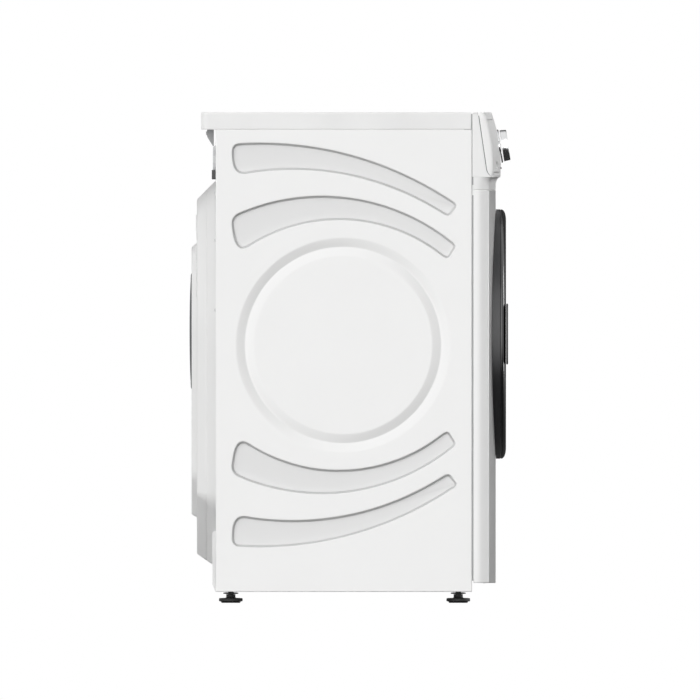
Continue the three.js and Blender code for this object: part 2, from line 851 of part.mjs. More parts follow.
function addLatchHook(door) {
  const { x, half, halfHeight } = LATCH;
  const stem = block(x - half, x + half, -252, -238, -halfHeight, halfHeight);
  const barb = block(x - half - 3, x + half, -242, -238, -halfHeight, halfHeight);
  const root = block(x - half - 1, x + half + 1, DOOR_BACK + GAP, -251.6, -12, 12);
  piece('latch_hook', fuse(stem, barb, root), 'steel', door);
}

function addLatchCatch() {
  const { x } = LATCH;
  const box = block(x - 14, x + 14, -243, -230, DOOR_Z - 22, DOOR_Z + 22);
  const mouth = block(x - 10.5, x + 10.5, -250, -233, DOOR_Z - 14, DOOR_Z + 14);
  piece('latch_catch', cut(box, mouth), 'whitePlastic');
}

function addHinge(door) {
  const knuckle = 5;
  const pinHole = 2.6;
  const leaf = fuse(
    upright(rod(knuckle, -18, 18)).translate(HINGE.x, HINGE.y, 0),
    block(196, HINGE.x, -257.4, -254.8, -18, 18),
  );
  const bore = upright(rod(pinHole, -60, 60)).translate(HINGE.x, HINGE.y, 0);
  piece('door_hinge_leaf', cut(leaf, bore), 'blackPlastic', door);

  const plate = block(HINGE.x - 3, HINGE.x + 10, -248.4, -240, -46, 46);
  const knuckles = [-32.5, 32.5].map((z) =>
    upright(rod(knuckle, z - 14, z + 14)).translate(HINGE.x, HINGE.y, 0));
  const webs = [-32.5, 32.5].map((z) =>
    block(HINGE.x - 1, HINGE.x + knuckle, HINGE.y, -247, z - 14, z + 14));
  const panel = frontBlock(-GAP, 0, HEIGHT).translate(0, 0, -DOOR_Z);
  const pin = upright(rod(pinHole - 0.3, -48, 48)).translate(HINGE.x, HINGE.y, 0);
  const bracket = cut(fuse(plate, pin, ...knuckles, ...webs), panel);
  piece('hinge_bracket', bracket.translate(0, 0, DOOR_Z), 'blackPlastic');
}

// ---- Drum and its supports ----

function rollerPlace(side) {
  const reach = DRUM_RADIUS + ROLLER_RADIUS + 0.3;
  return [side * reach * Math.sin(ROLLER_ANGLE), AXIS_Z - reach * Math.cos(ROLLER_ANGLE)];
}

function addFrontBulkhead() {
  const throat = 168;
  const plate = block(-284, 284, -190, -187, 200, 742);
  const neck = turned([
    [throat, -226],
    [throat + 14, -226],
    [throat + 14, -223],
    [throat + 3, -223],
    [throat + 3, -187],
    [throat, -187],
  ]).translate(0, 0, DOOR_Z);
  const opening = rod(throat, -240, -180, LARGE).translate(0, 0, DOOR_Z);
  const seat = ring(243, 246, -189, -166).translate(0, 0, AXIS_Z);
  const filterSlot = block(-77, 77, -214, -194, 180, 330);
  const axleHoles = [-1, 1].map((side) => {
    const [x, z] = rollerPlace(side);
    return rod(5.4, -200, -180).translate(x, 0, z);
  });
  const bulkhead = fuse(cut(plate, opening, ...axleHoles), seat, neck);
  piece('front_bulkhead', cut(bulkhead, filterSlot), 'greyPlastic');
}

function addDrum() {
  const drum = new THREE.Group();
  drum.position.set(0, 0, AXIS_Z);
  machine.add(drum);
  const wall = 2;
  const mouth = 250;
  const shell = turned([
    [mouth, DRUM_FRONT],
    [DRUM_RADIUS - 6, DRUM_FRONT],
    [DRUM_RADIUS, DRUM_FRONT + 6],
    [DRUM_RADIUS, DRUM_REAR],
    [DRUM_RADIUS - wall, DRUM_REAR],
    [DRUM_RADIUS - wall, DRUM_FRONT + 7],
    [DRUM_RADIUS - 7, DRUM_FRONT + wall],
    [mouth, DRUM_FRONT + wall],
  ]);
  piece('drum_shell', shell, 'steel', drum);

  const hub = 34;
  const back = turned([
    [10.5, DRUM_REAR - 12],
    [hub, DRUM_REAR - 12],
    [hub + 14, DRUM_REAR - 5],
    [DRUM_RADIUS - wall - GAP, DRUM_REAR - 5],
    [DRUM_RADIUS - wall - GAP, DRUM_REAR - 2.5],
    [10.5, DRUM_REAR - 2.5],
  ]);
  piece('drum_back', back, 'steel', drum);

  const shaft = turned([
    [0, DRUM_REAR - 16],
    [10, DRUM_REAR - 16],
    [10, DRUM_REAR - 2],
    [24, DRUM_REAR - 2],
    [24, DRUM_REAR + 3],
    [13.7, DRUM_REAR + 3],
    [13.7, 252],
    [0, 252],
  ], SMALL);
  piece('drum_shaft', shaft, 'steel', drum);

  const lifterOutline = [[-34, 0], [34, 0], [22, 14], [9, 44], [-9, 44], [-22, 14]];
  const lifter = cut(
    alongY(lifterOutline, -150, 175).translate(0, 0, -(DRUM_RADIUS - wall - GAP)),
    cut(rod(400, -300, 300, LARGE), rod(DRUM_RADIUS - wall - GAP, -301, 301, LARGE)),
  );
  for (let i = 0; i < 3; i += 1) {
    const mesh = piece(`drum_lifter_${i + 1}`, lifter, 'whitePlastic', drum);
    mesh.rotation.y = (i * 2 * Math.PI) / 3;
  }
}

function addFeltSeal() {
  const felt = ring(246.4, 249.5, -176, -168).translate(0, 0, AXIS_Z);
  piece('drum_felt_seal', felt, 'felt');
}

function addRollers() {
  const sides = { left: -1, right: 1 };
  for (const [name, side] of Object.entries(sides)) {
    const [x, z] = rollerPlace(side);
    const roller = turned([
      [0, -186],
      [5, -186],
      [5, -173],
      [12, -173],
      [12, -168],
      [ROLLER_RADIUS, -168],
      [ROLLER_RADIUS, -150],
      [12, -150],
      [12, -146],
      [0, -146],
    ], SMALL);
    piece(`drum_roller_${name}`, roller, 'rubber').position.set(x, 0, z);
  }
}

// ---- Drive ----

const SPAN = Math.hypot(MOTOR.x, AXIS_Z - MOTOR.z);
const HEADING = Math.atan2(MOTOR.z - AXIS_Z, MOTOR.x);

// The belt's free runs leave both circles at this angle from the line of centres
const WRAP = Math.acos((DRUM_RADIUS - PULLEY_RADIUS) / SPAN);

function beltPath(path, offset) {
  const big = DRUM_RADIUS + BELT_GAP + offset;
  const small = PULLEY_RADIUS + BELT_GAP + offset;
  path.absarc(0, AXIS_Z, big, HEADING + WRAP, HEADING - WRAP + 2 * Math.PI, false);
  path.absarc(MOTOR.x, MOTOR.z, small, HEADING - WRAP, HEADING + WRAP, false);
  return path;
}

function addDriveBelt() {
  const shape = beltPath(new THREE.Shape(), BELT_THICKNESS);
  shape.holes.push(beltPath(new THREE.Path(), 0));
  const belt = alongY(shape, BELT_Y, BELT_Y + BELT_WIDTH, { curveSegments: 16 });
  piece('drive_belt', belt, 'rubber');
}

function idlerPlace() {
  const along = 0.8;
  const angle = HEADING - WRAP;
  const normal = [Math.cos(angle), Math.sin(angle)];
  const reach = DRUM_RADIUS + BELT_GAP + BELT_THICKNESS + GAP + IDLER_RADIUS;
  const run = SPAN * Math.sin(WRAP) * along;
  return [
    normal[0] * reach - normal[1] * run,
    AXIS_Z + normal[1] * reach + normal[0] * run,
  ];
}

const IDLER_PIVOT_OFFSET = [-58, -30];

function addIdler() {
  const [x, z] = idlerPlace();
  const wheel = turned([
    [4.4, BELT_Y - 2],
    [IDLER_RADIUS, BELT_Y - 2],
    [IDLER_RADIUS, BELT_Y + BELT_WIDTH + 2],
    [4.4, BELT_Y + BELT_WIDTH + 2],
  ], SMALL);
  piece('idler_pulley', wheel, 'blackPlastic').position.set(x, 0, z);

  const [dx, dz] = IDLER_PIVOT_OFFSET;
  const reach = Math.hypot(dx, dz);
  const link = block(0, reach, BELT_Y - 7, BELT_Y - 3, -8, 8)
    .rotateY(-Math.atan2(dz, dx));
  const arm = fuse(
    link,
    rod(10, BELT_Y - 7, BELT_Y - 3),
    rod(4, BELT_Y - 7, BELT_Y + BELT_WIDTH + 2),
    rod(11, BELT_Y - 10, BELT_Y - 3).translate(dx, 0, dz),
  );
  piece('idler_arm', arm, 'steel').position.set(x, 0, z);
}

function addMotor() {
  const can = cut(
    fuse(rod(56, -40, 70, MEDIUM), rod(22, -46, 76), block(-50, 50, -30, 60, -62, -20)),
    rod(6.5, -80, 100),
  );
  piece('motor', can, 'galvanised').position.set(MOTOR.x, 0, MOTOR.z);

  const shaft = fuse(
    rod(6, -150, 106),
    ring(5, PULLEY_RADIUS, BELT_Y - 1, BELT_Y + BELT_WIDTH + 1, SMALL),
    ring(5, PULLEY_RADIUS + 4, BELT_Y - 3, BELT_Y - 1, SMALL),
  );
  piece('motor_rotor', shaft, 'steel').position.set(MOTOR.x, 0, MOTOR.z);
}

function addBlower() {
  const blades = 9;
  const wheel = [];
  for (let i = 0; i < blades; i += 1) {
    const blade = block(-1.2, 1.2, -146, -116, 34, 61);
    wheel.push(blade.rotateY((i * 2 * Math.PI) / blades));
  }
  const impeller = fuse(
    ring(6.4, 61, -116.5, -113.5, MEDIUM),
    ring(6.4, 14, -146, -113.5, SMALL),
    ...wheel,
  );
  piece('blower_wheel', impeller, 'blackPlastic').position.set(MOTOR.x, 0, MOTOR.z);

  const housing = cut(
    block(-74, 74, -156, -104, -76, 72),
    rod(66, -153, -107, MEDIUM),
    block(-80, 0, -153, -107, 20, 66),
    rod(42, -170, -150),
    rod(9, -110, -100),
  );
  const placed = piece('blower_housing', housing, 'greyPlastic');
  placed.position.set(MOTOR.x, 0, MOTOR.z + 2);
}

function addHeatPump() {
  const { left, right, front, rear, bottom, top } = EXCHANGER;
  const finCount = 13;
  const pitch = (right - left) / finCount;
  const half = pitch * 0.3;
  const border = 10;
  const slots = [];
  for (let i = 0; i < finCount; i += 1) {
    const x = left + pitch * (i + 0.5);
    slots.push(block(x - half, x + half, front - 1, rear + 1, bottom + border, top - border));
  }
  piece('heat_exchanger', cut(block(left, right, front, rear, bottom, top), ...slots), 'aluminium');

  const profile = [[0, 30], [58, 30], [60, 44], [60, 132], [48, 156], [20, 166], [0, 166]];
  const can = upright(turned(profile, SMALL)).translate(COMPRESSOR.x, COMPRESSOR.y, 0);
  piece('compressor', can, 'blackPlastic');
}

// ---- Lint filter ----

function addLintFilter() {
  const { half, front, rear, bottom, top } = FILTER;
  const play = { side: 4, face: 1.5, foot: 3 };
  const wall = { side: 5, face: 3.5, rear: 3, foot: 4 };
  const room = half + play.side;
  const foot = bottom - play.foot;
  const housing = cut(
    block(
      -room - wall.side, room + wall.side,
      front - play.face - wall.face, rear + play.face + wall.rear,
      foot - wall.foot, top - play.foot,
    ),
    block(-room, room, front - play.face, rear + play.face, foot, top + 6),
  );
  piece('filter_housing', housing, 'greyPlastic');

  const bar = 6;
  const gripHalf = 24;
  const frame = cut(
    fuse(
      block(-half, half, front, rear, bottom, top),
      block(-gripHalf, gripHalf, front + 4, rear - 4, top - 4, top + 10),
    ),
    block(-half + bar, -bar / 2, front - 18, rear + 16, bottom + 7, top - 10),
    block(bar / 2, half - bar, front - 18, rear + 16, bottom + 7, top - 10),
  );
  piece('lint_filter', frame, 'whitePlastic');
}

// ---- Feet ----

function addFeet() {
  const places = {
    front_left: [-FEET_X, FOOT_FRONT_Y],
    front_right: [FEET_X, FOOT_FRONT_Y],
    rear_left: [-FEET_X, FOOT_REAR_Y],
    rear_right: [FEET_X, FOOT_REAR_Y],
  };
  const sole = 16;
  const pad = 20.5;
  const stem = 8;
  const nut = 13;
  const screw = 5.2;
  const length = 34;
  const profile = [
    [0, 0],
    [sole, 0],
    [pad, 3],
    [pad, 7],
    [stem, 9.2],
    [stem, 15.3],
    [nut, 15.3],
    [nut, 18.3],
    [screw, 18.3],
    [screw, length],
    [0, length],
  ];
  for (const [name, [x, y]] of Object.entries(places)) {
    piece(`foot_${name}`, upright(turned(profile, SMALL)), 'rubber').position.set(x, y, 0);
  }
}

addBasePan();
addSidePanels();
addBackPanel();
addTopPanel();
addRearTopRail();
addRearDuctCover();
addBearingCap();
addRearBearing();
addMainsInlet();
addFrontPanel();
addControlFrame();
addControlFascia();
addWaterTank();
addProgramKnob();
addButtons();
addControlBoard();
addDoor();
addLatchCatch();
addFrontBulkhead();
addDrum();
addFeltSeal();
addRollers();
addDriveBelt();
addIdler();
addMotor();
addBlower();
addHeatPump();
addLintFilter();
addFeet();

export default machine;
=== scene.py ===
"""The looks of the clothes dryer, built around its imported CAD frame.

Metres, +Z up. The front faces -Y, and +X is the machine's right. Profiles and outlines are
written in millimetres and pass through mm().
"""

import math

import bmesh
import bpy
import numpy as np
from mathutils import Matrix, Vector
from mathutils.geometry import delaunay_2d_cdt

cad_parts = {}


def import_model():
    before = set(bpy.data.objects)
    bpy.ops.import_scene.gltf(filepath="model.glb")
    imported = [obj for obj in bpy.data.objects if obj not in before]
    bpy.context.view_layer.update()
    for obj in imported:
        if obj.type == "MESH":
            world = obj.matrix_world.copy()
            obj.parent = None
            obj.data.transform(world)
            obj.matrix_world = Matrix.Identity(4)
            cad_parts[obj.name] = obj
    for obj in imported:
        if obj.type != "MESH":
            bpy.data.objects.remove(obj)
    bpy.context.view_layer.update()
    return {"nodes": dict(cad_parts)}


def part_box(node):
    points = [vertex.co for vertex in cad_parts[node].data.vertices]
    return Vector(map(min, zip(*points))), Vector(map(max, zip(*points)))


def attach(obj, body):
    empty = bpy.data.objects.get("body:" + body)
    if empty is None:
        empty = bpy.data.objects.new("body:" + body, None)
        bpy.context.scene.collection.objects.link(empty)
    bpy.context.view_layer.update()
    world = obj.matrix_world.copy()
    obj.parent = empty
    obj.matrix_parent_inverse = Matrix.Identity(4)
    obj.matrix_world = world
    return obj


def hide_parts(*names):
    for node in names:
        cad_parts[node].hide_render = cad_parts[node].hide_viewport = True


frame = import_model()

MM = 0.001
SMOOTH_BELOW = math.radians(32)
ROUND_ABOVE = math.radians(35)
MERGE = 2e-6

# Sizes that the frame's boxes don't give
BULGE = 11.5 * MM
CORNER = 13.5 * MM
LEAN_START = 760 * MM
LEAN_RADIUS = 261 * MM
LEAN = math.radians(8.5)
SHEET = 0.8 * MM

# A margin beside each rolled edge, and the longest step along an outline on a curved face
SUPPORT = 1.2 * MM
LOOP_STEP = 12 * MM


def mm(steps):
    """Pairs in millimetres, as metres."""
    return [(a * MM, b * MM) for a, b in steps]


# ---- Materials ----

def put(target, values):
    """Sets a node's inputs, each to a value or to another node's output."""
    for key, value in values.items():
        if isinstance(value, bpy.types.NodeSocket):
            target.id_data.links.new(value, target.inputs[key])
        else:
            target.inputs[key].default_value = value


def node(tree, kind, inputs, output=0, **settings):
    """One output of a new node, whose inputs are set or linked."""
    made = tree.nodes.new(kind)
    for key, value in settings.items():
        setattr(made, key, value)
    put(made, inputs)
    return made.outputs[output]


def material(name):
    """A new material with its node tree and its Principled shader."""
    made = bpy.data.materials.new(name)
    made.use_nodes = True
    return made, made.node_tree, made.node_tree.nodes["Principled BSDF"]


def own_place(tree):
    return node(tree, "ShaderNodeTexCoord", {}, "Object")


def noise(tree, scale, detail=3.0, stretch=None):
    """Noise in the piece's own coordinates, with its grain drawn out if stretch is given."""
    place = own_place(tree)
    if stretch:
        place = node(tree, "ShaderNodeMapping", {"Vector": place, "Scale": stretch})
    return node(tree, "ShaderNodeTexNoise", {"Vector": place, "Scale": scale, "Detail": detail})


def ramp(tree, source, low, high, first, last):
    """source from low to high as a colour from first to last."""
    color = node(tree, "ShaderNodeValToRGB", {"Fac": source})
    stops = color.node.color_ramp.elements
    stops[0].position, stops[0].color = low, (*first, 1)
    stops[1].position, stops[1].color = high, (*last, 1)
    return color


def spread(tree, source, low, high):
    return node(tree, "ShaderNodeMapRange", {"Value": source, "To Min": low, "To Max": high})


def bump(tree, source, strength, distance):
    return node(tree, "ShaderNodeBump",
                {"Height": source, "Strength": strength, "Distance": distance * MM})


def surface_finish(name, color, roughness, grain, depth, tone, metallic=0.0, coat=0.0,
                   stretch=None):
    """A moulded, painted or brushed surface: cloudy colour, uneven gloss and a fine grain."""
    made, tree, shader = material(name)
    darker = tuple(c * (1 - tone) for c in color)
    patches = noise(tree, 42.0, 3.0, stretch)
    put(shader, {"Base Color": ramp(tree, noise(tree, 9.0, 4.0), 0.3, 0.7, darker, color),
                 "Roughness": spread(tree, patches, roughness * 0.88, roughness * 1.12),
                 "Normal": bump(tree, noise(tree, grain, 2.0, stretch), 0.25, depth),
                 "Metallic": metallic, "Coat Weight": coat, "Coat Roughness": 0.05, "IOR": 1.5})
    return made


def galvanised_finish():
    """Zinc crystals: each cell has a tone and a gloss of its own."""
    made, tree, shader = material("galvanised")
    cells = node(tree, "ShaderNodeTexVoronoi", {"Vector": own_place(tree), "Scale": 110.0}, "Color")
    tone = node(tree, "ShaderNodeRGBToBW", {"Color": cells})
    put(shader, {"Base Color": ramp(tree, tone, 0.2, 0.8, (0.3, 0.305, 0.31), (0.44, 0.445, 0.45)),
                 "Roughness": spread(tree, tone, 0.34, 0.55), "Metallic": 0.85})
    return made


def glass_finish(name, color, roughness, clear):
    """Glass or clear plastic, with faint smears in its gloss."""
    made, tree, shader = material(name)
    put(shader, {"Roughness": spread(tree, noise(tree, 25.0, 4.0), roughness, roughness * 1.8),
                 "Base Color": (*color, 1), "Transmission Weight": clear, "IOR": 1.45})
    return made


def felt_finish():
    made, tree, shader = material("wool_felt")
    fibres = noise(tree, 900.0, 5.0)
    put(shader, {"Base Color": ramp(tree, fibres, 0.3, 0.7, (0.2, 0.19, 0.17), (0.42, 0.4, 0.36)),
                 "Normal": bump(tree, fibres, 0.8, 0.6), "Roughness": 0.95, "Sheen Weight": 0.4})
    return made


def lit_finish():
    """The display's lit segments, a little uneven as they are on the real thing."""
    made, tree, shader = material("lit_segment")
    cold, warm = (0.75, 0.9, 1.0), (0.9, 0.97, 1.0)
    put(shader, {"Emission Color": ramp(tree, noise(tree, 300.0), 0.3, 0.7, cold, warm),
                 "Emission Strength": 1.6})
    return made


# Name, colour, roughness, grain's fineness, its depth in millimetres, and the colour's unevenness
WHITE = (0.885, 0.885, 0.88)
ENAMEL = surface_finish("white_enamel", WHITE, 0.3, 1500.0, 0.03, 0.012, coat=0.3)
# Darker copies of the white enamel for the recesses' walls and floors: painted shade, standing in
# for the shade that falls inside the pressings.
PAINTED_SHADE_WALL = surface_finish("white_enamel_painted_shade_wall", (0.66, 0.66, 0.66), 0.35, 1500.0, 0.03, 0.012)
PAINTED_SHADE_FLOOR = surface_finish("white_enamel_painted_shade_floor", (0.775, 0.775, 0.773), 0.32, 1500.0, 0.03,
                               0.012)
DUCT_WHITE = surface_finish("white_duct_plastic", (0.84, 0.84, 0.835), 0.4, 2200.0, 0.08, 0.02)
LAMINATE = surface_finish("white_laminate", (0.9, 0.9, 0.895), 0.42, 1400.0, 0.12, 0.06)
WHITE_PLASTIC = surface_finish("white_plastic", WHITE, 0.4, 2600.0, 0.05, 0.015)
GREY_PLASTIC = surface_finish("grey_plastic", (0.13, 0.135, 0.14), 0.55, 2200.0, 0.1, 0.12)
LIGHT_GREY = surface_finish("light_grey_plastic", (0.42, 0.425, 0.43), 0.5, 2200.0, 0.1, 0.08)
PRINT_GREY = surface_finish("grey_print", (0.1, 0.105, 0.11), 0.6, 2600.0, 0.02, 0.1)
BLACK_PLASTIC = surface_finish("black_plastic", (0.008, 0.008, 0.009), 0.38, 2400.0, 0.06, 0.2)
GLOSS_BLACK = surface_finish("gloss_black", (0.012, 0.012, 0.013), 0.2, 900.0, 0.01, 0.2, coat=0.5)
SATIN_BLACK = surface_finish("satin_black", (0.026, 0.026, 0.028), 0.34, 1800.0, 0.03, 0.12)
RUBBER = surface_finish("black_rubber", (0.011, 0.011, 0.011), 0.6, 1300.0, 0.15, 0.3)
CHROME = surface_finish("satin_metal", (0.62, 0.625, 0.63), 0.2, 1500.0, 0.01, 0.04,
                        metallic=1.0, stretch=(1.0, 8.0, 1.0))
STEEL = surface_finish("brushed_steel", (0.6, 0.6, 0.605), 0.32, 500.0, 0.04, 0.08,
                       metallic=1.0, stretch=(1.0, 0.06, 1.0))
ALUMINIUM = surface_finish("fin_aluminium", (0.7, 0.71, 0.72), 0.4, 700.0, 0.05, 0.1, metallic=1.0)
BOARD = surface_finish("board_lacquer", (0.02, 0.14, 0.05), 0.4, 700.0, 0.08, 0.3)
GALVANISED = galvanised_finish()
DARK_GLASS = glass_finish("tinted_glass", (0.035, 0.038, 0.042), 0.03, 0.55)
CLEAR_GLASS = glass_finish("clear_glass", (0.8, 0.84, 0.85), 0.05, 0.92)
FELT = felt_finish()
LIT = lit_finish()


# ---- Mesh building ----

class Skin:
    """The points and faces of one piece. A face shows on the side that its corners run round
    anticlockwise."""

    def __init__(self):
        self.points = []
        self.faces = []

    def polygon(self, points):
        start = len(self.points)
        self.points.extend(points)
        self.faces.append(tuple(range(start, start + len(points))))

    def rows(self, rows, closed=False, flip=False):
        start, count = len(self.points), len(rows[0])
        for row in rows:
            self.points.extend(row)
        for i in range(len(rows) - 1):
            for j in range(count if closed else count - 1):
                a, b = start + i * count + j, start + i * count + (j + 1) % count
                face = (a, b, b + count, a + count)
                self.faces.append(face[::-1] if flip else face)

    def prism(self, rows, flip=False):
        """Rows that close round on themselves, with a polygon at each end."""
        self.rows(rows, closed=True, flip=flip)
        self.polygon(rows[0][::-1])
        self.polygon(rows[-1])

    def patch(self, surface, outer, holes=(), columns=(), levels=()):
        """Fills a loop in (u, v), less its holes, with triangles that have corners at each
        column and level."""
        loops = [outer, *holes]
        flat = [Vector(p) for loop in loops for p in loop]
        edges, start = [], 0
        for loop in loops:
            edges += [(start + i, start + (i + 1) % len(loop)) for i in range(len(loop))]
            start += len(loop)
        grid = np.array([(u, v) for u in columns for v in levels], float).reshape(-1, 2)
        if len(grid):
            flat += [Vector(p) for p in grid[within(grid, outer, holes)]]
        corners, _, triangles, *_ = delaunay_2d_cdt(flat, edges, [], 0, 1e-9)
        xy = np.array([tuple(c) for c in corners])
        kept = within(xy[np.array(triangles)].mean(axis=1), outer, holes)
        start = len(self.points)
        self.points.extend(surface(*c)[0] for c in corners)
        self.faces.extend(tuple(start + i for i in t) for t, k in zip(triangles, kept) if k)

    def rim(self, surface, loop, profile, hole=False, closed=True):
        """Runs a profile of (outwards, inwards) steps along a loop in (u, v), and returns its
        last row."""
        rows = [[] for _ in profile]
        count = len(loop)
        placed = [surface(*p) for p in loop]
        for i, (point, normal) in enumerate(placed):
            before = placed[i - 1][0] if closed or i else point * 2 - placed[1][0]
            after = placed[(i + 1) % count][0] if closed or i < count - 1 else point * 2 - before
            first = (point - before).cross(normal).normalized()
            second = (after - point).cross(normal).normalized()
            out = (first + second) / max(0.3, 1 + first.dot(second))
            out = -out if hole else out
            for row, (away, depth) in zip(rows, profile):
                row.append(point + out * away - normal * depth)
        self.rows(rows, closed=closed, flip=not hole)
        return rows[-1]


def inside(points, loop):
    """Which of the points lie inside the loop."""
    found = np.zeros(len(points), bool)
    x, y = points[:, 0], points[:, 1]
    for (x0, y0), (x1, y1) in zip(loop, [*loop[1:], loop[0]]):
        if y0 != y1:
            crosses = (y0 > y) != (y1 > y)
            found ^= crosses & (x < (x1 - x0) * (y - y0) / (y1 - y0) + x0)
    return found


def within(points, outer, holes):
    """Which of the points lie inside the outer loop and outside every hole."""
    kept = inside(points, outer)
    for hole in holes:
        kept &= ~inside(points, hole)
    return kept


def new_object(name, data):
    made = bpy.data.objects.new(name, data)
    bpy.context.scene.collection.objects.link(made)
    return made


def make(name, skin, finish, body, replaces=(), solid=False, thickness=0.0, bevel=0.0):
    """The piece itself, riding on its body. A sheet has its thickness behind the face that
    shows."""
    work = bmesh.new()
    corners = [work.verts.new(p) for p in skin.points]
    for face in skin.faces:
        work.faces.new([corners[i] for i in face])
    bmesh.ops.remove_doubles(work, verts=work.verts, dist=MERGE)
    bmesh.ops.dissolve_degenerate(work, dist=MERGE, edges=work.edges)
    if solid:
        bmesh.ops.recalc_face_normals(work, faces=work.faces)
    mesh = bpy.data.meshes.new(name)
    work.to_mesh(mesh)
    work.free()
    mesh.materials.append(finish)
    for polygon in mesh.polygons:
        polygon.use_smooth = True
    mesh.set_sharp_from_angle(angle=SMOOTH_BELOW)
    made = new_object(name, mesh)
    if thickness:
        shell = made.modifiers.new("thickness", "SOLIDIFY")
        shell.thickness, shell.offset = thickness, -1
    if bevel:
        soften(made, bevel)
    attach(made, body)
    if replaces:
        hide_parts(*replaces)


def soften(piece, width, segments=3):
    """Rounds the piece's sharp edges."""
    rounding = piece.modifiers.new("rounding", "BEVEL")
    rounding.width, rounding.segments = width, segments
    rounding.limit_method, rounding.angle_limit = "ANGLE", ROUND_ABOVE
    rounding.harden_normals = True
    even = piece.modifiers.new("even", "WEIGHTED_NORMAL")
    even.keep_sharp = True


def arc(radius, steps=5):
    """A quarter round as (along, across) steps: it sets off along its first direction and ends
    along its second."""
    turns = [math.pi / 2 * i / steps for i in range(steps + 1)]
    return [(radius * math.sin(t), radius * (1 - math.cos(t))) for t in turns]


def rolled(radius, depth, support=SUPPORT):
    """A sheet's edge: a flat margin, a round and a straight return. It starts support + radius
    inside the true edge."""
    return [(0, 0), *((support + a, b) for a, b in arc(radius)), (support + radius, depth)]


def circle(u, v, radius, count=96):
    angles = [2 * math.pi * i / count for i in range(count)]
    return [(u + radius * math.cos(a), v + radius * math.sin(a)) for a in angles]


def rounded(corners, radii, steps=6):
    """The corners of an anticlockwise outline, each rounded by its own radius."""
    points = []
    for i, (corner, r) in enumerate(zip(corners, radii)):
        here = Vector(corner)
        before = Vector(corners[i - 1]) - here
        after = Vector(corners[(i + 1) % len(corners)]) - here
        half = before.angle(after) / 2
        reach = min(r / math.tan(half), 0.49 * before.length, 0.49 * after.length)
        r = reach * math.tan(half)
        before.normalize()
        after.normalize()
        start, end = here + before * reach, here + after * reach
        centre = here + (before + after).normalized() * (r / math.sin(half))
        for k in range(steps + 1):
            swing = (start - centre).lerp(end - centre, k / steps).normalized() * r
            points.append(tuple(centre + swing))
    return points


def rectangle(left, right, bottom, top, radius, inset=0.0):
    left, right, bottom, top = left + inset, right - inset, bottom + inset, top - inset
    corners = [(left, bottom), (right, bottom), (right, top), (left, top)]
    return rounded(corners, [max(radius - inset, 0.3 * MM)] * 4)


def densified(loop, step):
    """The loop with further points along its long edges."""
    points = []
    for (u0, v0), (u1, v1) in zip(loop, [*loop[1:], loop[0]]):
        parts = max(1, math.ceil(math.hypot(u1 - u0, v1 - v0) / step))
        points += [(u0 + (u1 - u0) * i / parts, v0 + (v1 - v0) * i / parts) for i in range(parts)]
    return points


def outline(box, radius, inset):
    """A box's outline from the front, with rounded corners. A negative inset makes it larger."""
    low, high = box
    loop = rectangle(low.x, high.x, low.z, high.z, radius * MM, inset * MM)
    return densified(loop, LOOP_STEP)


def centre_of(name):
    low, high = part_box(name)
    return (low + high) / 2


def size_of(name):
    low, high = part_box(name)
    return high - low


FORWARD = Vector((0, -1, 0))
UPWARD = Vector((0, 0, 1))


def turned(profile, centre, count=96, direction=None):
    """A closed solid of revolution: (radius, along) steps round an axis through centre, which
    runs forward unless direction says."""
    axis = (direction or FORWARD).normalized()
    across = axis.orthogonal().normalized() if direction else Vector((1, 0, 0))
    up = across.cross(axis) if direction else UPWARD
    rows = []
    for radius, along in profile:
        angles = [2 * math.pi * i / count for i in range(count)]
        rows.append([centre + axis * along + (across * math.cos(a) + up * math.sin(a)) * radius
                     for a in angles])
    skin = Skin()
    skin.rows(rows, closed=True)
    for row, (radius, _) in ((rows[0], profile[0]), (rows[-1], profile[-1])):
        if radius > 0:
            skin.polygon(row)
    return skin


def turned_ring(profile, centre, count, direction):
    """A closed ring: its profile joins up with its own start."""
    skin = turned([*profile, profile[0]], centre, count, direction)
    skin.faces = [face for face in skin.faces if len(face) == 4]
    return skin


def bar(low, high):
    """A plain bar between two corners."""
    x, y, z = zip(low, high)
    corners = [Vector((x[i], y[j], z[k])) for i in (0, 1) for j in (0, 1) for k in (0, 1)]
    skin = Skin()
    for face in ((0, 1, 3, 2), (4, 6, 7, 5), (0, 4, 5, 1), (2, 3, 7, 6), (0, 2, 6, 4),
                 (1, 5, 7, 3)):
        skin.polygon([corners[i] for i in face])
    return skin


def joined(skins):
    whole = Skin()
    for skin in skins:
        start = len(whole.points)
        whole.points.extend(skin.points)
        whole.faces.extend(tuple(start + i for i in face) for face in skin.faces)
    return whole


# ---- Plan of the curved front ----

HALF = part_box("side_panel_right")[1].x
FACE_HALF = HALF - CORNER
FRONT_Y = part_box("front_panel")[0].y
FASCIA_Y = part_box("control_fascia")[0].y
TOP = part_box("top_panel")[1].z

FACE_COLUMN = 14 * MM
SIDE_COLUMN = 4 * MM
ARC_STEPS = 6


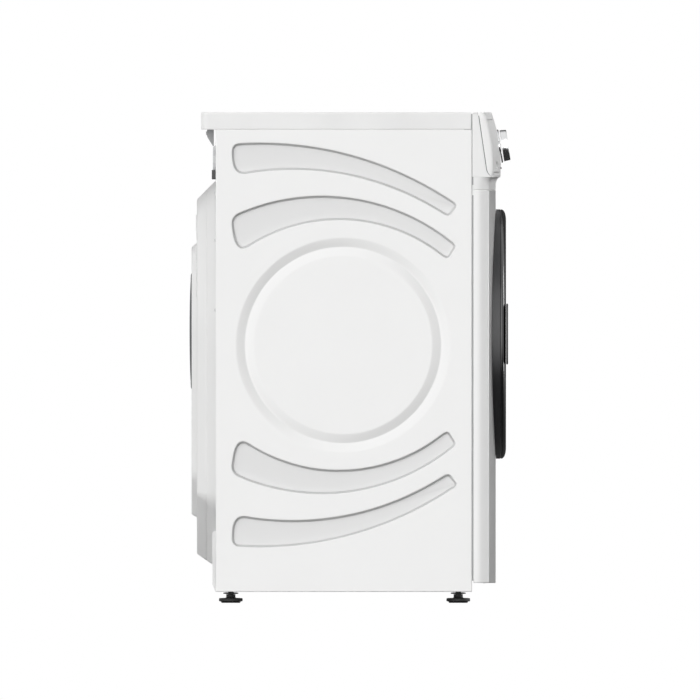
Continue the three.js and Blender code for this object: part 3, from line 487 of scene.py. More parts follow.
class Plan:
    """The front's outline from above: a shallow bulge, then arcs (radius, tilt at their end)
    round to the side."""

    def __init__(self, *arcs):
        self.arcs = [(radius * MM, math.radians(end)) for radius, end in arcs]
        self.edge = FACE_HALF
        for _ in range(20):
            tilt, reach = self.tilt(self.edge), 0.0
            for radius, end in self.arcs:
                reach += radius * (math.sin(end) - math.sin(tilt))
                tilt = end
            self.edge = HALF - reach
        tilt, self.length = self.tilt(self.edge), 0.0
        for radius, end in self.arcs:
            self.length += radius * (end - tilt)
            tilt = end

    def tilt(self, x):
        return math.atan(2 * BULGE * x / FACE_HALF**2)

    def at(self, u, inset=0.0):
        """Point and outward normal. u runs along the outline, from the middle of the face."""
        side, along = (1 if u >= 0 else -1), abs(u)
        x = min(along, self.edge)
        y, turn = BULGE * (x / FACE_HALF) ** 2, self.tilt(x)
        rest = along - x
        if rest > 0:
            for radius, end in self.arcs:
                swing = min(rest / radius, end - turn)
                x += radius * (math.sin(turn + swing) - math.sin(turn))
                y += radius * (math.cos(turn) - math.cos(turn + swing))
                turn, rest = turn + swing, rest - radius * swing
            y += max(0.0, rest)
        normal = Vector((side * math.sin(turn), -math.cos(turn), 0))
        return Vector((side * x, y, 0)) - normal * inset, normal

    def columns(self, limit):
        """Columns close enough together to follow the outline, out to a limit on each side."""
        count = math.ceil(self.edge / FACE_COLUMN)
        half = [self.edge * i / count for i in range(count + 1)]
        reached, tilt = self.edge, self.tilt(self.edge)
        for radius, end in self.arcs:
            step = radius * (end - tilt) / ARC_STEPS
            half += [reached + step * i for i in range(1, ARC_STEPS + 1)]
            reached, tilt = half[-1], end
        half += [reached + SIDE_COLUMN * i for i in range(1, 20)]
        half = [u for u in half if u < limit - 1e-5] + [limit]
        return [-u for u in reversed(half[1:])] + half


PANEL = Plan((1.5, 33), (22, 43), (3, 52), (30, 90))
STRIP = Plan((4, 90))


def front_surface(u, z):
    point, normal = PANEL.at(u)
    return point + Vector((0, FRONT_Y, z)), normal


def lean(z):
    """How far back the strip's face leans at height z, and its slope there."""
    rise = max(0.0, z - LEAN_START)
    across = math.sqrt(LEAN_RADIUS**2 - rise**2)
    return LEAN_RADIUS - across, rise / across


def strip_surface(u, z, proud=0.0):
    """The control strip's outer face, which leans back towards its top."""
    back, slope = lean(z)
    point, normal = STRIP.at(u)
    normal = Vector((normal.x, normal.y, -normal.y * slope)).normalized()
    return point + Vector((0, FASCIA_Y + back, z)) + normal * proud, normal


NECK_START = 723 * MM
SEAM_FOOT = 737.6 * MM


def run_back(plan, front):
    """The outline's length from the edge of the face to the back of the strip."""
    bend = plan.edge + plan.length
    return plan.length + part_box("control_frame")[1].y - front - plan.at(bend)[0].y


NECK_SHARE = run_back(PANEL, FRONT_Y) / run_back(STRIP, FASCIA_Y)


def neck_surface(u, z):
    """The strip's foot, which flares forward from the front panel's outline to the fascia's."""
    share = min(1.0, max(0.0, (z - NECK_START) / (SEAM_FOOT - NECK_START)))
    flare = 1 - math.sqrt(1 - share**2)
    side, along = (1 if u >= 0 else -1), abs(u)
    if along <= STRIP.edge:
        same = along * PANEL.edge / STRIP.edge
    else:
        same = PANEL.edge + (along - STRIP.edge) * NECK_SHARE
    lower, lower_normal = PANEL.at(side * same)
    upper, upper_normal = STRIP.at(u)
    point = lower.lerp(upper, flare) + Vector((0, FRONT_Y + (FASCIA_Y - FRONT_Y) * flare, z))
    return point, lower_normal.lerp(upper_normal, flare).normalized()


def u_at(y, z, surface):
    """Where the surface reaches a depth y at height z."""
    low, high = 0.0, HALF + 0.15
    for _ in range(40):
        middle = (low + high) / 2
        if surface(middle, z)[0].y < y:
            low = middle
        else:
            high = middle
    return low


# ---- Side panels ----

PRESSING_Z = 446.6 * MM
PRESSING_Y = 11.9 * MM
BEAD_RADIUS = 170 * MM
BEAD_REACH = 18 * MM
BEAD_DEPTH = 4 * MM
BEAD_STEPS = 24

# Two arcs for each recess: their centre (y, z) and radius, and the depths y of their ends, in
# millimetres. Each recess has a mirror image below.
RECESSES = [
    {"upper": (155, 200, 597, 205, -187), "lower": (99, 269, 481, 203, -171)},
    {"upper": (49, 344, 361, 207, -185), "lower": (19, 376, 287, 197, -169)},
]
RECESS_MARGIN = 2.4 * MM
RECESS_PROFILE = mm([
    (0, 0), (1.6, 0), (2.2, 0.25), (2.7, 0.9), (3.1, 2.0), (3.6, 4.0), (4.1, 5.6), (4.8, 6.5),
    (5.8, 6.95), (7.0, 7.0), (8.4, 7.0)])
LIP_STEPS, WALL_STEPS, FLOOR_STEPS = slice(0, 4), slice(3, 9), slice(8, None)


def recess_loop(recess, mirror):
    """One recess in (u, v) with u = -y: two long arcs and two ends, the rear one swept back."""
    def at(values, y):
        centre, z, radius = (value * MM for value in values[:3])
        return Vector((-y, z + math.sqrt(radius**2 - (y - centre) ** 2)))

    def edge(values, rear_trim, front_trim, steps=22):
        rear, front = (values[3] - rear_trim) * MM, (values[4] + front_trim) * MM
        return [at(values, rear + (front - rear) * i / steps) for i in range(steps + 1)]

    def bend(start, control, end, steps=9):
        return [start * (1 - t) ** 2 + control * 2 * t * (1 - t) + end * t * t
                for t in (i / steps for i in range(1, steps))]

    upper, lower = edge(recess["upper"], 14, 8), edge(recess["lower"], 25, 11)
    rear_top, front_top = (at(recess["upper"], y * MM) for y in recess["upper"][3:])
    rear_foot, front_foot = (at(recess["lower"], y * MM) for y in recess["lower"][3:])
    front_high, front_low = (front_top.lerp(front_foot, share) for share in (0.24, 0.68))
    rear_low, rear_high = (rear_foot.lerp(rear_top, share) for share in (0.6, 0.74))
    loop = [*upper, *bend(upper[-1], front_top, front_high), front_high,
            front_low, *bend(front_low, front_foot, lower[-1]), *reversed(lower),
            *bend(lower[0], rear_foot, rear_low), rear_low,
            rear_high, *bend(rear_high, rear_top, upper[0])]
    if mirror:
        return [(p.x, 2 * PRESSING_Z - p.y) for p in loop]
    return [tuple(p) for p in reversed(loop)]


def grown(loop, distance):
    """An anticlockwise loop moved outwards."""
    points = []
    for i, p in enumerate(loop):
        before, after = Vector(loop[i - 1]), Vector(loop[(i + 1) % len(loop)])
        along = (after - before).normalized()
        points.append((p[0] + along.y * distance, p[1] - along.x * distance))
    return points


def bead_profile():
    """A V-shaped ring groove with soft shoulders, between flat margins."""
    steps = [(0, 0)]
    for i in range(BEAD_STEPS + 1):
        share = i / BEAD_STEPS
        across = abs(2 * share - 1)
        steps.append(((2 + 32 * share) * MM, BEAD_DEPTH * (1 - across) ** 1.15))
    return [*steps, (2 * BEAD_REACH, 0)]


def side_panel(side, name):
    low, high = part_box("side_panel_left")
    edge = 1.5 * MM
    inset = edge + SUPPORT

    def surface(u, v):
        return Vector((side * HALF, side * u, v)), Vector((side, 0, 0))

    def placed(loop):
        return loop if side < 0 else [(-u, v) for u, v in reversed(loop)]

    rear, front, bottom, top = inset - high.y, -low.y - inset, low.z + inset, high.z - inset
    outer = placed([(rear, bottom), (front, bottom), (front, top), (rear, top)])
    bead = placed(circle(-PRESSING_Y, PRESSING_Z, BEAD_RADIUS + BEAD_REACH, 180))
    borders = [grown(placed(recess_loop(recess, mirror)), RECESS_MARGIN)
               for recess in RECESSES for mirror in (False, True)]
    sheet, walls, floors = Skin(), Skin(), Skin()
    sheet.patch(surface, outer, [*borders, bead])
    for border in borders:
        sheet.rim(surface, border, RECESS_PROFILE[LIP_STEPS], hole=True)
        walls.rim(surface, border, RECESS_PROFILE[WALL_STEPS], hole=True)
        floors.polygon(floors.rim(surface, border, RECESS_PROFILE[FLOOR_STEPS], hole=True))
    sheet.polygon(sheet.rim(surface, bead, bead_profile(), hole=True))
    sheet.rim(surface, outer, rolled(edge, 9 * MM))
    make(f"side_panel_{name}_sheet", sheet, ENAMEL, "cabinet",
         [f"side_panel_{name}"], thickness=SHEET)
    # The recess walls and floors take the darker enamel copies, which paint the pressings' shade
    # into their colour.
    make(f"side_panel_{name}_walls", walls, PAINTED_SHADE_WALL, "cabinet",
         thickness=SHEET)
    make(f"side_panel_{name}_floors", floors, PAINTED_SHADE_FLOOR, "cabinet",
         thickness=SHEET)


# ---- Worktop ----

def worktop():
    low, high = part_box("top_panel")
    rear_radius, front_radius = 11 * MM, 1.2 * MM
    top, foot = 2.6 * MM, 1.4 * MM
    thick = high.z - low.z
    flat, margin = 3 * MM, 0.8 * MM

    def row(inset, height):
        corners = [(low.x, low.y), (high.x, low.y), (high.x, high.y), (low.x, high.y)]
        corners = [(u - math.copysign(inset, u), v - math.copysign(inset, v)) for u, v in corners]
        radii = [max(r - inset, 0.4 * MM)
                 for r in (front_radius, front_radius, rear_radius, rear_radius)]
        return [Vector((u, v, low.z + height)) for u, v in rounded(corners, radii, 8)]

    profile = [(foot + flat, 0), *((foot - a, b) for a, b in arc(foot)), (0, foot + margin),
               (0, thick - top - margin), *((b, thick - top + a) for a, b in arc(top, 6)),
               (top + flat, thick)]
    skin = Skin()
    skin.prism([row(*step) for step in profile])
    make("worktop_board", skin, LAMINATE, "cabinet", ["top_panel"], solid=True)


# ---- Front panel ----

DOOR_CENTRE = centre_of("door_glass").z
DOOR_OPENING = 180 * MM


def front_panel():
    low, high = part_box("front_panel")
    limit = u_at(high.y, 0, front_surface) - 1.8 * MM
    inset = 2.6 * MM
    rows = 34
    columns = PANEL.columns(limit - inset)
    bottom, top = low.z + inset, high.z - inset
    levels = [bottom + (top - bottom) * i / rows for i in range(1, rows)]
    outer = [(u, bottom) for u in columns] + [(columns[-1], v) for v in levels]
    outer += [(u, top) for u in reversed(columns)] + [(columns[0], v) for v in reversed(levels)]

    opening_round = 3.5 * MM
    catch = centre_of("latch_catch")
    opening = circle(0, DOOR_CENTRE, DOOR_OPENING + opening_round + SUPPORT, 160)
    latch = rectangle(catch.x - 10 * MM, catch.x + 10 * MM, catch.z - 13 * MM, catch.z + 13 * MM,
                      3 * MM, -2.2 * MM)
    flap = outline(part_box("service_flap"), 4, -3.4)
    skin = Skin()
    skin.patch(front_surface, outer, [opening, latch, flap], columns[1:-1], levels)
    skin.rim(front_surface, outer, rolled(inset - SUPPORT, 10 * MM))
    for loop, radius, depth in ((opening, opening_round, 19 * MM), (latch, 1 * MM, 6 * MM),
                                (flap, 1.2 * MM, 8 * MM)):
        skin.rim(front_surface, loop, rolled(radius, depth), hole=True)
    make("front_panel_sheet", skin, ENAMEL, "cabinet", ["front_panel"],
         thickness=SHEET)
    service_flap(columns)


def service_flap(columns):
    flap_low, flap_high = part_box("service_flap")
    cover = outline((flap_low, flap_high), 4, 2.2)
    middle, scoop_z = centre_of("service_flap").x, flap_high.z - 17 * MM
    scoop = rectangle(middle - 16 * MM, middle + 16 * MM, scoop_z - 5 * MM, scoop_z + 5 * MM,
                      5 * MM)
    dish = mm([(0, 0), (1, 0), (1.6, 0.3), (2.4, 1.2), (3.2, 1.5)])
    skin = Skin()
    skin.patch(front_surface, cover, [scoop], [u for u in columns if flap_low.x < u < flap_high.x],
               [flap_low.z + 13.5 * MM * i for i in range(1, 8)])
    skin.polygon(skin.rim(front_surface, scoop, dish, hole=True))
    skin.rim(front_surface, cover, rolled(1 * MM, 7 * MM))
    make("service_flap_cover", skin, ENAMEL, "service_flap", ["service_flap"],
         thickness=1.5 * MM)


# ---- Control strip ----

EDGE_ROUND = 2.4 * MM
STRIP_ROW = 9 * MM
DIAL_Z = 791 * MM
OPTION_Z = 757 * MM
AXIS_OUT = Vector((0, -math.cos(LEAN), math.sin(LEAN)))
BUTTONS = ("power_button", "start_button", "option_button_1", "option_button_2",
           "option_button_3")


def strip_z(name):
    """The height at which a button's axis meets the strip's face."""
    return DIAL_Z if name in ("power_button", "start_button") else OPTION_Z


def strip_columns(low, high):
    return [u for u in STRIP.columns(FACE_HALF) if low.x < u < high.x]


def strip_rows(bottom, count):
    return [bottom + STRIP_ROW * i for i in range(1, count + 1)]


def seam(gap=0.0):
    """The joint between the strip's frame and its fascia, from the top down, as (y, z)."""
    corners = mm([(-221.1, 850), (-235.6, 751), (-237.9, 739.8), (-247.6, 737.6)])
    top, knee, heel, toe = (Vector(p) for p in corners)
    points = [top.lerp(knee, i / 16) for i in range(17)]
    points += [knee * (1 - t) ** 2 + heel * 2 * t * (1 - t) + toe * t * t
               for t in (i / 8 for i in range(1, 9))]
    return [Vector((p.x + gap, p.y)) for p in points]


def top_start(u):
    """The turn at which the rounded top edge leaves the strip's face."""
    return math.asin(max(0.0, min(1.0, strip_surface(u, TOP)[1].z)))


def top_level(u):
    return TOP - EDGE_ROUND * (1 - math.sin(top_start(u)))


def top_round(columns, steps=6):
    """Rows of the rounded edge between the strip's face and its top."""
    rows = [[] for _ in range(steps + 1)]
    for u in columns:
        start, level = top_start(u), top_level(u)
        shift = FASCIA_Y + lean(level)[0]
        for k, row in enumerate(rows):
            angle = start + (math.pi / 2 - start) * k / steps
            point, _ = STRIP.at(u, EDGE_ROUND * (math.cos(start) - math.cos(angle)))
            rise = EDGE_ROUND * (math.sin(angle) - math.sin(start))
            row.append(point + Vector((0, shift, level + rise)))
    return rows


def fascia():
    joint = seam(-2.4 * MM)
    columns = STRIP.columns(u_at(joint[0].x, TOP, strip_surface))
    bottom = SEAM_FOOT + 0.8 * MM
    foot = u_at(joint[-1].x, bottom, strip_surface)
    side = [(u_at(p.x, p.y, strip_surface), p.y) for p in joint[1:] if p.y > bottom + 0.3 * MM]
    lower = [(-foot, bottom), *((u, bottom) for u in columns if abs(u) < foot - 1e-4),
             (foot, bottom)]
    left = [(-u, v) for u, v in side]
    outer = [*lower, *side[::-1], *((u, top_level(u)) for u in reversed(columns)), *left]

    # Each opening with the radius and the margin of its rolled edge
    openings = [(outline(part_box("water_tank_front"), 4, -3.0), 1.0 * MM, SUPPORT),
                (outline(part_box("display_window"), 3, -1.6), 0.5 * MM, 0.3 * MM)]
    for name in BUTTONS:
        loop = circle(centre_of(name).x, strip_z(name), size_of(name).x / 2 + 1.4 * MM, 40)
        openings.append((loop, 0.5 * MM, 0.3 * MM))
    skin = Skin()
    skin.patch(strip_surface, outer, [loop for loop, *_ in openings], columns[1:-1],
               strip_rows(bottom, 12))
    for loop, radius, margin in openings:
        skin.rim(strip_surface, loop, rolled(radius, 5 * MM, margin), hole=True)
    lip = [(0, 0), *arc(0.9 * MM, 4), (0.9 * MM, 5.5 * MM)]
    skin.rim(strip_surface, [*left, *lower, *side[::-1]], lip, closed=False)
    rows = top_round(columns)
    skin.rows(rows)
    skin.polygon(rows[-1])
    make("control_fascia_cover", skin, WHITE_PLASTIC, "cabinet",
         ["control_fascia"], thickness=SHEET)


def control_frame():
    """The shell behind the fascia: its neck over the front panel, its two ends and its top."""
    low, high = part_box("control_frame")
    edge = support = 0.8 * MM
    inset = edge + support
    joint = seam()
    bottom, back = low.z + inset, high.y - inset
    columns = STRIP.columns(u_at(high.y, low.z, neck_surface) - inset)
    levels = [bottom + (SEAM_FOOT - bottom) * math.sin(math.pi / 2 * i / 12) for i in range(1, 13)]
    right = [(u_at(back, v, neck_surface), v) for v in levels]
    foot = [(u, bottom) for u in columns]
    top = [(u, SEAM_FOOT) for u in reversed(columns) if abs(u) < right[-1][0] - 1e-4]
    skin = Skin()
    skin.patch(neck_surface, [*foot, *right, *top, *((-u, v) for u, v in reversed(right))], (),
               columns[1:-1], levels[:-1])
    skin.rim(neck_surface, foot, rolled(edge, 8 * MM, support), closed=False)

    front, inner = joint[0].x, HALF - EDGE_ROUND
    path = [(front, TOP - EDGE_ROUND),
            *((p.x, p.y) for p in joint[1:] if p.y > SEAM_FOOT + 0.2 * MM),
            (joint[-1].x, SEAM_FOOT)]
    front_fold = mm([(0, 0), (0.3, 0.1), (0.45, 0.5), (0.45, 4)])
    for side in (-1, 1):
        rows = []
        for y, z in path:
            surface = strip_surface if z > SEAM_FOOT else neck_surface
            start, end = u_at(back, z, surface), u_at(y, z, surface)
            rows.append([surface(side * (start + (end - start) * i / 8), z)[0] for i in range(9)])
        skin.rows(rows, flip=side < 0)
        skin.rows([[row[-1] + Vector((-side * depth, -away, 0)) for row in rows]
                   for away, depth in front_fold], flip=side > 0)
        skin.rows([[row[0] + Vector((-side * depth, away, 0)) for row in rows]
                   for away, depth in rolled(edge, 8 * MM, support)], flip=side < 0)
        span = [back + (front - back) * i / 4 for i in range(5)]
        skin.rows([[Vector((side * (HALF - across), y, TOP - EDGE_ROUND + up)) for y in span]
                   for up, across in arc(EDGE_ROUND, 6)], flip=side > 0)
    skin.polygon([Vector((x, y, TOP)) for x, y in ((-inner, front), (inner, front), (inner, back),
                                                   (-inner, back))])
    skin.rows([[Vector((x, front - away, TOP - depth)) for x in (-inner, inner)]
               for away, depth in mm([(0, 0), (0.3, 0.1), (0.45, 4)])], flip=True)
    make("control_frame_shell", skin, WHITE_PLASTIC, "cabinet",
         ["control_frame"], thickness=SHEET)


def inner_frame():
    """Grey posts behind the gaps at the front corners, whose grey is painted shade that darkens the
    gaps, and the strip behind the joint over the front panel."""
    panel_low, panel_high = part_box("front_panel")
    front, rear = panel_high.y - 9 * MM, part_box("side_panel_left")[0].y + 14 * MM
    shade_posts = []
    for side in (-1, 1):
        left, right = sorted((side * (HALF - 2.4 * MM), side * (HALF - 13 * MM)))
        shade_posts.append(bar((left, front, panel_low.z + 4 * MM), (right, rear, TOP - 3 * MM)))
    # The posts' grey is painted shade in the corner gaps.
    make("corner_shade_posts", joined(shade_posts), LIGHT_GREY, "cabinet", solid=True,
         bevel=0.8 * MM)
    joint, half = panel_high.z, 9 * MM
    columns = PANEL.columns(u_at(panel_high.y, 0, front_surface))
    rows = [[PANEL.at(u, depth * MM)[0] + Vector((0, FRONT_Y, z)) for u in columns]
            for depth, z in ((1.4, joint - half), (1.4, joint + half),
                             (2.8, joint + half), (2.8, joint - half))]
    skin = Skin()
    skin.rows([*rows, rows[0]])
    skin.polygon([row[0] for row in rows])
    skin.polygon([row[-1] for row in rows][::-1])
    make("front_joint_strip", skin, WHITE_PLASTIC, "cabinet", solid=True)


def fascia_joint_shade():
    """A dark grey ribbon at the bottom of the joint at each end of the fascia: painted shade, which
    makes the gap look dark.
    """
    half, depth = 1.3 * MM, 1.0 * MM
    for side, name in ((-1, "left"), (1, "right")):
        path = [p for p in seam(-1 * MM)[1:] if p.y > SEAM_FOOT + 1 * MM]
        rows = [[strip_surface(side * u_at(p.x + shift, p.y, strip_surface), p.y, -depth)[0]
                 for p in path] for shift in (-half, half)]
        skin = Skin()
        skin.rows(rows, flip=side > 0)
        make(f"fascia_joint_shade_{name}", skin, GREY_PLASTIC, "cabinet",
             thickness=0.4 * MM)


def tank_drawer():
    low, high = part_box("water_tank_front")
    loop = outline((low, high), 3.5, 2.2)
    middle = (low.x + high.x) / 2
    grip = rectangle(middle - 30 * MM, middle + 30 * MM, low.z + 5 * MM, low.z + 20 * MM, 7 * MM)
    grip = densified(grip, 10 * MM)
    scoop = mm([(0, 0), (0.8, 0), (1.5, 0.3), (2.4, 1.6), (3.4, 3.6), (4.6, 4.4), (5.6, 4.6)])
    skin = Skin()
    skin.patch(strip_surface, loop, [grip], strip_columns(low, high), strip_rows(low.z, 9))
    skin.polygon(skin.rim(strip_surface, grip, scoop, hole=True))
    skin.rim(strip_surface, loop, rolled(1 * MM, 9 * MM))
    make("tank_drawer_cover", skin, WHITE_PLASTIC, "water_tank",
         ["water_tank_front"], thickness=1.4 * MM)


# Each segment of a digit from (x, z) to (x, z), in shares of the digit's width and height
SEGMENTS = {"a": (0, 1, 1, 1), "b": (1, 0.5, 1, 1), "c": (1, 0, 1, 0.5), "d": (0, 0, 1, 0),
            "e": (0, 0, 0, 0.5), "f": (0, 0.5, 0, 1), "g": (0, 0.5, 1, 0.5)}
DIGITS = {"1": "bc", "3": "abgcd", "0": "abcdef"}


def display():
    low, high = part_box("display_window")

    def surface(u, v):
        return strip_surface(u, v, -0.3 * MM)

    loop = outline((low, high), 2.5, 1.6)
    skin = Skin()
    skin.patch(surface, loop, (), strip_columns(low, high), strip_rows(low.z, 4))
    skin.rim(surface, loop, rolled(0.6 * MM, 2 * MM, 0.6 * MM))
    make("display_pane", skin, GLOSS_BLACK, "cabinet", ["display_window"],
         thickness=1.2 * MM)

    tall, wide, stroke = 15 * MM, 8 * MM, 1.5 * MM
    half, trim = stroke / 2, stroke * 0.62
    bottom = (low.z + high.z) / 2 - tall / 2
    segments = []

    def lit(u0, v0, u1, v1):
        corners = [(u0, v0), (u1, v0), (u1, v1), (u0, v1)]
        skin = Skin()
        skin.prism([[strip_surface(u, v, proud * MM)[0] for u, v in corners]
                    for proud in (-0.2, 0.06)])
        segments.append(skin)

    for digit, place in (("1", 20), ("3", 40), ("0", 55)):
        left = low.x + place * MM
        for x0, z0, x1, z1 in (SEGMENTS[key] for key in DIGITS[digit]):
            u0, u1 = left + wide * x0, left + wide * x1
            v0, v1 = bottom + tall * z0, bottom + tall * z1
            if x0 == x1:
                lit(u0 - half, v0 + trim, u0 + half, v1 - trim)
            else:
                lit(u0 + trim, v0 - half, u1 - trim, v0 + half)
    colon = low.x + 33.2 * MM
    for level in (bottom + tall * 0.3, bottom + tall * 0.7):
        lit(colon, level - half, colon + stroke, level + half)
    for i in range(5):
        left = high.x + (9 * i - 52) * MM
        lit(left, bottom, left + 6.5 * MM, bottom + (2.2 + 2.6 * i) * MM)
    make("display_digits", joined(segments), LIT, "cabinet", solid=True)


def disc(point, normal, radius, face, crown):
    """A small printed or lit dot."""
    return turned(mm([(0, -0.3), (radius, -0.3), (radius, face), (0, crown)]), point, 20, normal)


def knob():
    place = Vector((0, strip_surface(0, DIAL_Z)[0].y, DIAL_Z))
    radius = size_of("program_knob").x / 2
    face, chamfer = 15.4 * MM, 1.3 * MM
    wall = radius - 0.65 * MM
    profile = [*mm([(0, 4), (19, 4), (19, 4.02)]), (radius - 0.6 * MM, 4.02 * MM),
               (radius, 4.6 * MM), (radius, 5.4 * MM), (wall + 0.5 * MM, 6 * MM),
               (wall, face - chamfer - 1 * MM),
               *((wall - b, face - chamfer + a) for a, b in arc(chamfer)),
               (radius - 4.5 * MM, face), (radius - 5.2 * MM, face - 0.35 * MM),
               (0, face - 0.5 * MM)]
    make("program_knob_cap", turned(profile, place, 144, AXIS_OUT), CHROME, "knob",
         ["program_knob"], solid=True)

    up = Vector((0, math.sin(LEAN), math.cos(LEAN)))
    half, thick = Vector((0.9 * MM, 0, 0)), AXIS_OUT * 0.4 * MM
    start = place + AXIS_OUT * (face - 0.5 * MM) + up * 12 * MM
    end = place + AXIS_OUT * (face - 0.5 * MM) + up * 21 * MM
    foot = [start - half, start + half, end + half, end - half]
    mark = Skin()
    mark.prism([foot, [p + thick for p in foot]])
    make("program_knob_mark", mark, PRINT_GREY, "knob", solid=True)

    ring = mm([(21, -0.5), (29, -0.5), (29, 0.8), (28.8, 1.4), (28.3, 1.9), (27.6, 2.2),
               (22, 2.2), (21, 1.9)])
    make("knob_bezel_ring", turned_ring(ring, place, 144, AXIS_OUT), CHROME, "cabinet",
         ["knob_bezel"], solid=True)

    marks = []
    count, quarter = 16, 4
    for i in range(count):
        angle = 2 * math.pi * i / count
        for reach in ([36 * MM] if i % quarter else [38 * MM, 36.5 * MM]):
            spot = strip_surface(reach * math.sin(angle), DIAL_Z + reach * math.cos(angle))
            marks.append(disc(*spot, 0.9 if i % quarter else 1.1, 0.03, 0.05))
    make("dial_marks", joined(marks), PRINT_GREY, "cabinet", solid=True)


def buttons():
    for name in BUTTONS:
        radius = size_of(name).x / 2
        x, z = centre_of(name).x, strip_z(name)
        point = Vector((x, strip_surface(x, z)[0].y, z))
        crown, top, foot, bend = 0.35 * MM, 2.35 * MM, -2 * MM, 0.8 * MM
        wall, shoulder = radius - 0.1 * MM, top - 0.9 * MM
        profile = [(0, foot), (wall, foot), *((wall - b, shoulder + a) for a, b in arc(bend, 4)),
                   (radius * 0.62, top - crown * 0.5), (radius * 0.3, top - crown * 0.9),
                   (0, top - crown)]
        make(f"{name}_cap", turned(profile, point, 64, AXIS_OUT), CHROME, name,
             [name], solid=True)
    lamps = [disc(*strip_surface(centre_of(name).x, OPTION_Z + 11.5 * MM), 0.8, 0.05, 0.1)
             for name in BUTTONS[2:]]
    make("option_lamps", joined(lamps), LIT, "cabinet", solid=True)


# ---- Door ----

def door_shell(profile, name, finish, replaces=(), count=180):
    """A ring of (radius, y) steps round the door's axis. Where y is None, it follows the front
    panel at a small distance."""
    clear = 0.5 * MM
    rows = []
    for r, y in profile:
        row = []
        for i in range(count):
            angle = 2 * math.pi * i / count
            x = r * math.cos(angle)
            depth = FRONT_Y + BULGE * (x / FACE_HALF) ** 2 - clear if y is None else y
            row.append(Vector((x, depth, DOOR_CENTRE + r * math.sin(angle))))
        rows.append(row)
    skin = Skin()
    skin.rows([*rows, rows[0]], closed=True)
    make(name, skin, finish, "door", replaces, solid=True)


def door():
    low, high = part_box("door_ring")
    radius, front = high.x, low.y
    glass_edge = size_of("door_glass").x / 2
    groove = front + 9 * MM
    wall = 3 * MM
    body = [(radius - wall, None), (radius, None), (radius, groove + 1.2 * MM),
            (radius - 0.5 * MM, groove + 0.7 * MM), (radius - 1 * MM, groove + 0.6 * MM),
            (radius - wall, groove + 0.6 * MM)]
    door_shell(body, "door_ring_body", SATIN_BLACK)

    shoulder, lip, seat = 18 * MM, 1.4 * MM, glass_edge + 0.8 * MM
    base = groove - 0.9 * MM
    bevel = [(radius - wall, groove + 0.6 * MM), (radius - 1 * MM, groove + 0.6 * MM),
             (radius - 0.9 * MM, groove + 0.2 * MM), (radius - 0.2 * MM, groove - 0.2 * MM)]
    bevel += [(radius - shoulder + (shoulder - 0.1 * MM) * (1 - b), base - (base - front) * a)
              for a, b in arc(1, 12)]
    bevel += [(seat + lip + 2 * MM, front), *((seat + lip - a, front + b) for a, b in arc(lip, 4)),
              (seat, front + 12.6 * MM), (glass_edge + 3 * MM, front + 12.6 * MM),
              (glass_edge + 8 * MM, front + wall), (radius - shoulder, front + wall),
              (radius - wall, groove + 0.2 * MM)]
    door_shell(bevel, "door_ring_bezel", GLOSS_BLACK, ["door_ring"])

    axis = Vector((0, 0, DOOR_CENTRE))
    glass_low, glass_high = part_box("door_glass")
    face, back = glass_low.y, glass_high.y
    dome = 2.2 * MM
    pane = [(0, back), (glass_edge - 1 * MM, back), (glass_edge, back - 1 * MM),
            (glass_edge, face + 1 * MM), (glass_edge - 0.3 * MM, face + 0.3 * MM),
            (glass_edge - 1.2 * MM, face)]
    pane += [(glass_edge * (1 - share), face - dome * (1 - (1 - share) ** 2))
             for share in (i / 12 for i in range(1, 13))]
    make("door_window", turned([(r, -y) for r, y in pane], axis, 144), DARK_GLASS, "door",
         ["door_glass"], solid=True)

    inner, near, far = glass_edge - 22 * MM, back + 0.4 * MM, back + 1.9 * MM
    band = [(inner, -near), (glass_edge, -near), (glass_edge, -far), (inner, -far)]
    make("door_window_border", turned_ring(band, axis, 144, FORWARD), SATIN_BLACK, "door",
         solid=True)

    bowl = mm([
        (139.2, 241), (138, 237), (134, 231), (128, 225), (118, 220), (104, 217.2), (80, 216.4),
        (0, 216.3),
        (0, 219.2), (80, 219.3), (103, 220), (116, 222.8), (125, 227.4), (131, 233), (134.6, 238),
        (136, 241)])
    make("door_bowl_glass", turned(bowl, axis, 128), CLEAR_GLASS, "door",
         ["door_bowl"], solid=True)


def handle():
    """The grip follows the door's rim."""
    low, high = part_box("door_handle")
    inner, outer = 180 * MM, 213 * MM
    centre, half = (inner + outer) / 2, (outer - inner) / 2
    reach = centre * math.asin(min(1.0, (high.z - low.z) / 2 / outer))
    thick = (high.y - low.y) / MM
    corners = [(-half, -reach), (half, -reach), (half, reach), (-half, reach)]
    loop = densified(rounded(corners, [9 * MM] * 4, 8), 8 * MM)

    def placed(a, b, y):
        angle = math.pi + b / centre
        r = centre - a
        return Vector((r * math.cos(angle), y, DOOR_CENTRE + r * math.sin(angle)))

    steps = mm([(1.2, 0), (0, 0.9), (0, thick - 1.6), (0.3, thick - 0.9), (0.9, thick - 0.3),
                (1.9, thick), (4.0, thick), (6.0, thick - 0.8), (9.0, thick - 1.3)])
    skin = Skin()
    skin.prism([[placed(a * (1 - inset / half), b * (1 - inset / reach), high.y - rise)
                 for a, b in loop] for inset, rise in steps])
    make("door_handle_grip", skin, BLACK_PLASTIC, "door", ["door_handle"],
         solid=True)


# ---- Back ----

DRUM_AXIS = centre_of("drum_shell").z
BACK_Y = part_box("rear_duct_cover")[0].y
FOOT_SLOPE = 0.68

# The duct cover's outlines: radius over the drum, height of the knees, and half the width and
# the height of the foot
DUCT_MAIN = (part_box("rear_duct_cover")[1].x, 172 * MM, 96 * MM, 65 * MM)
DUCT_RAISED = (154 * MM, 214 * MM, 80 * MM, 148 * MM)


def back_surface(y):
    return lambda u, v: (Vector((-u, y, v)), Vector((0, 1, 0)))


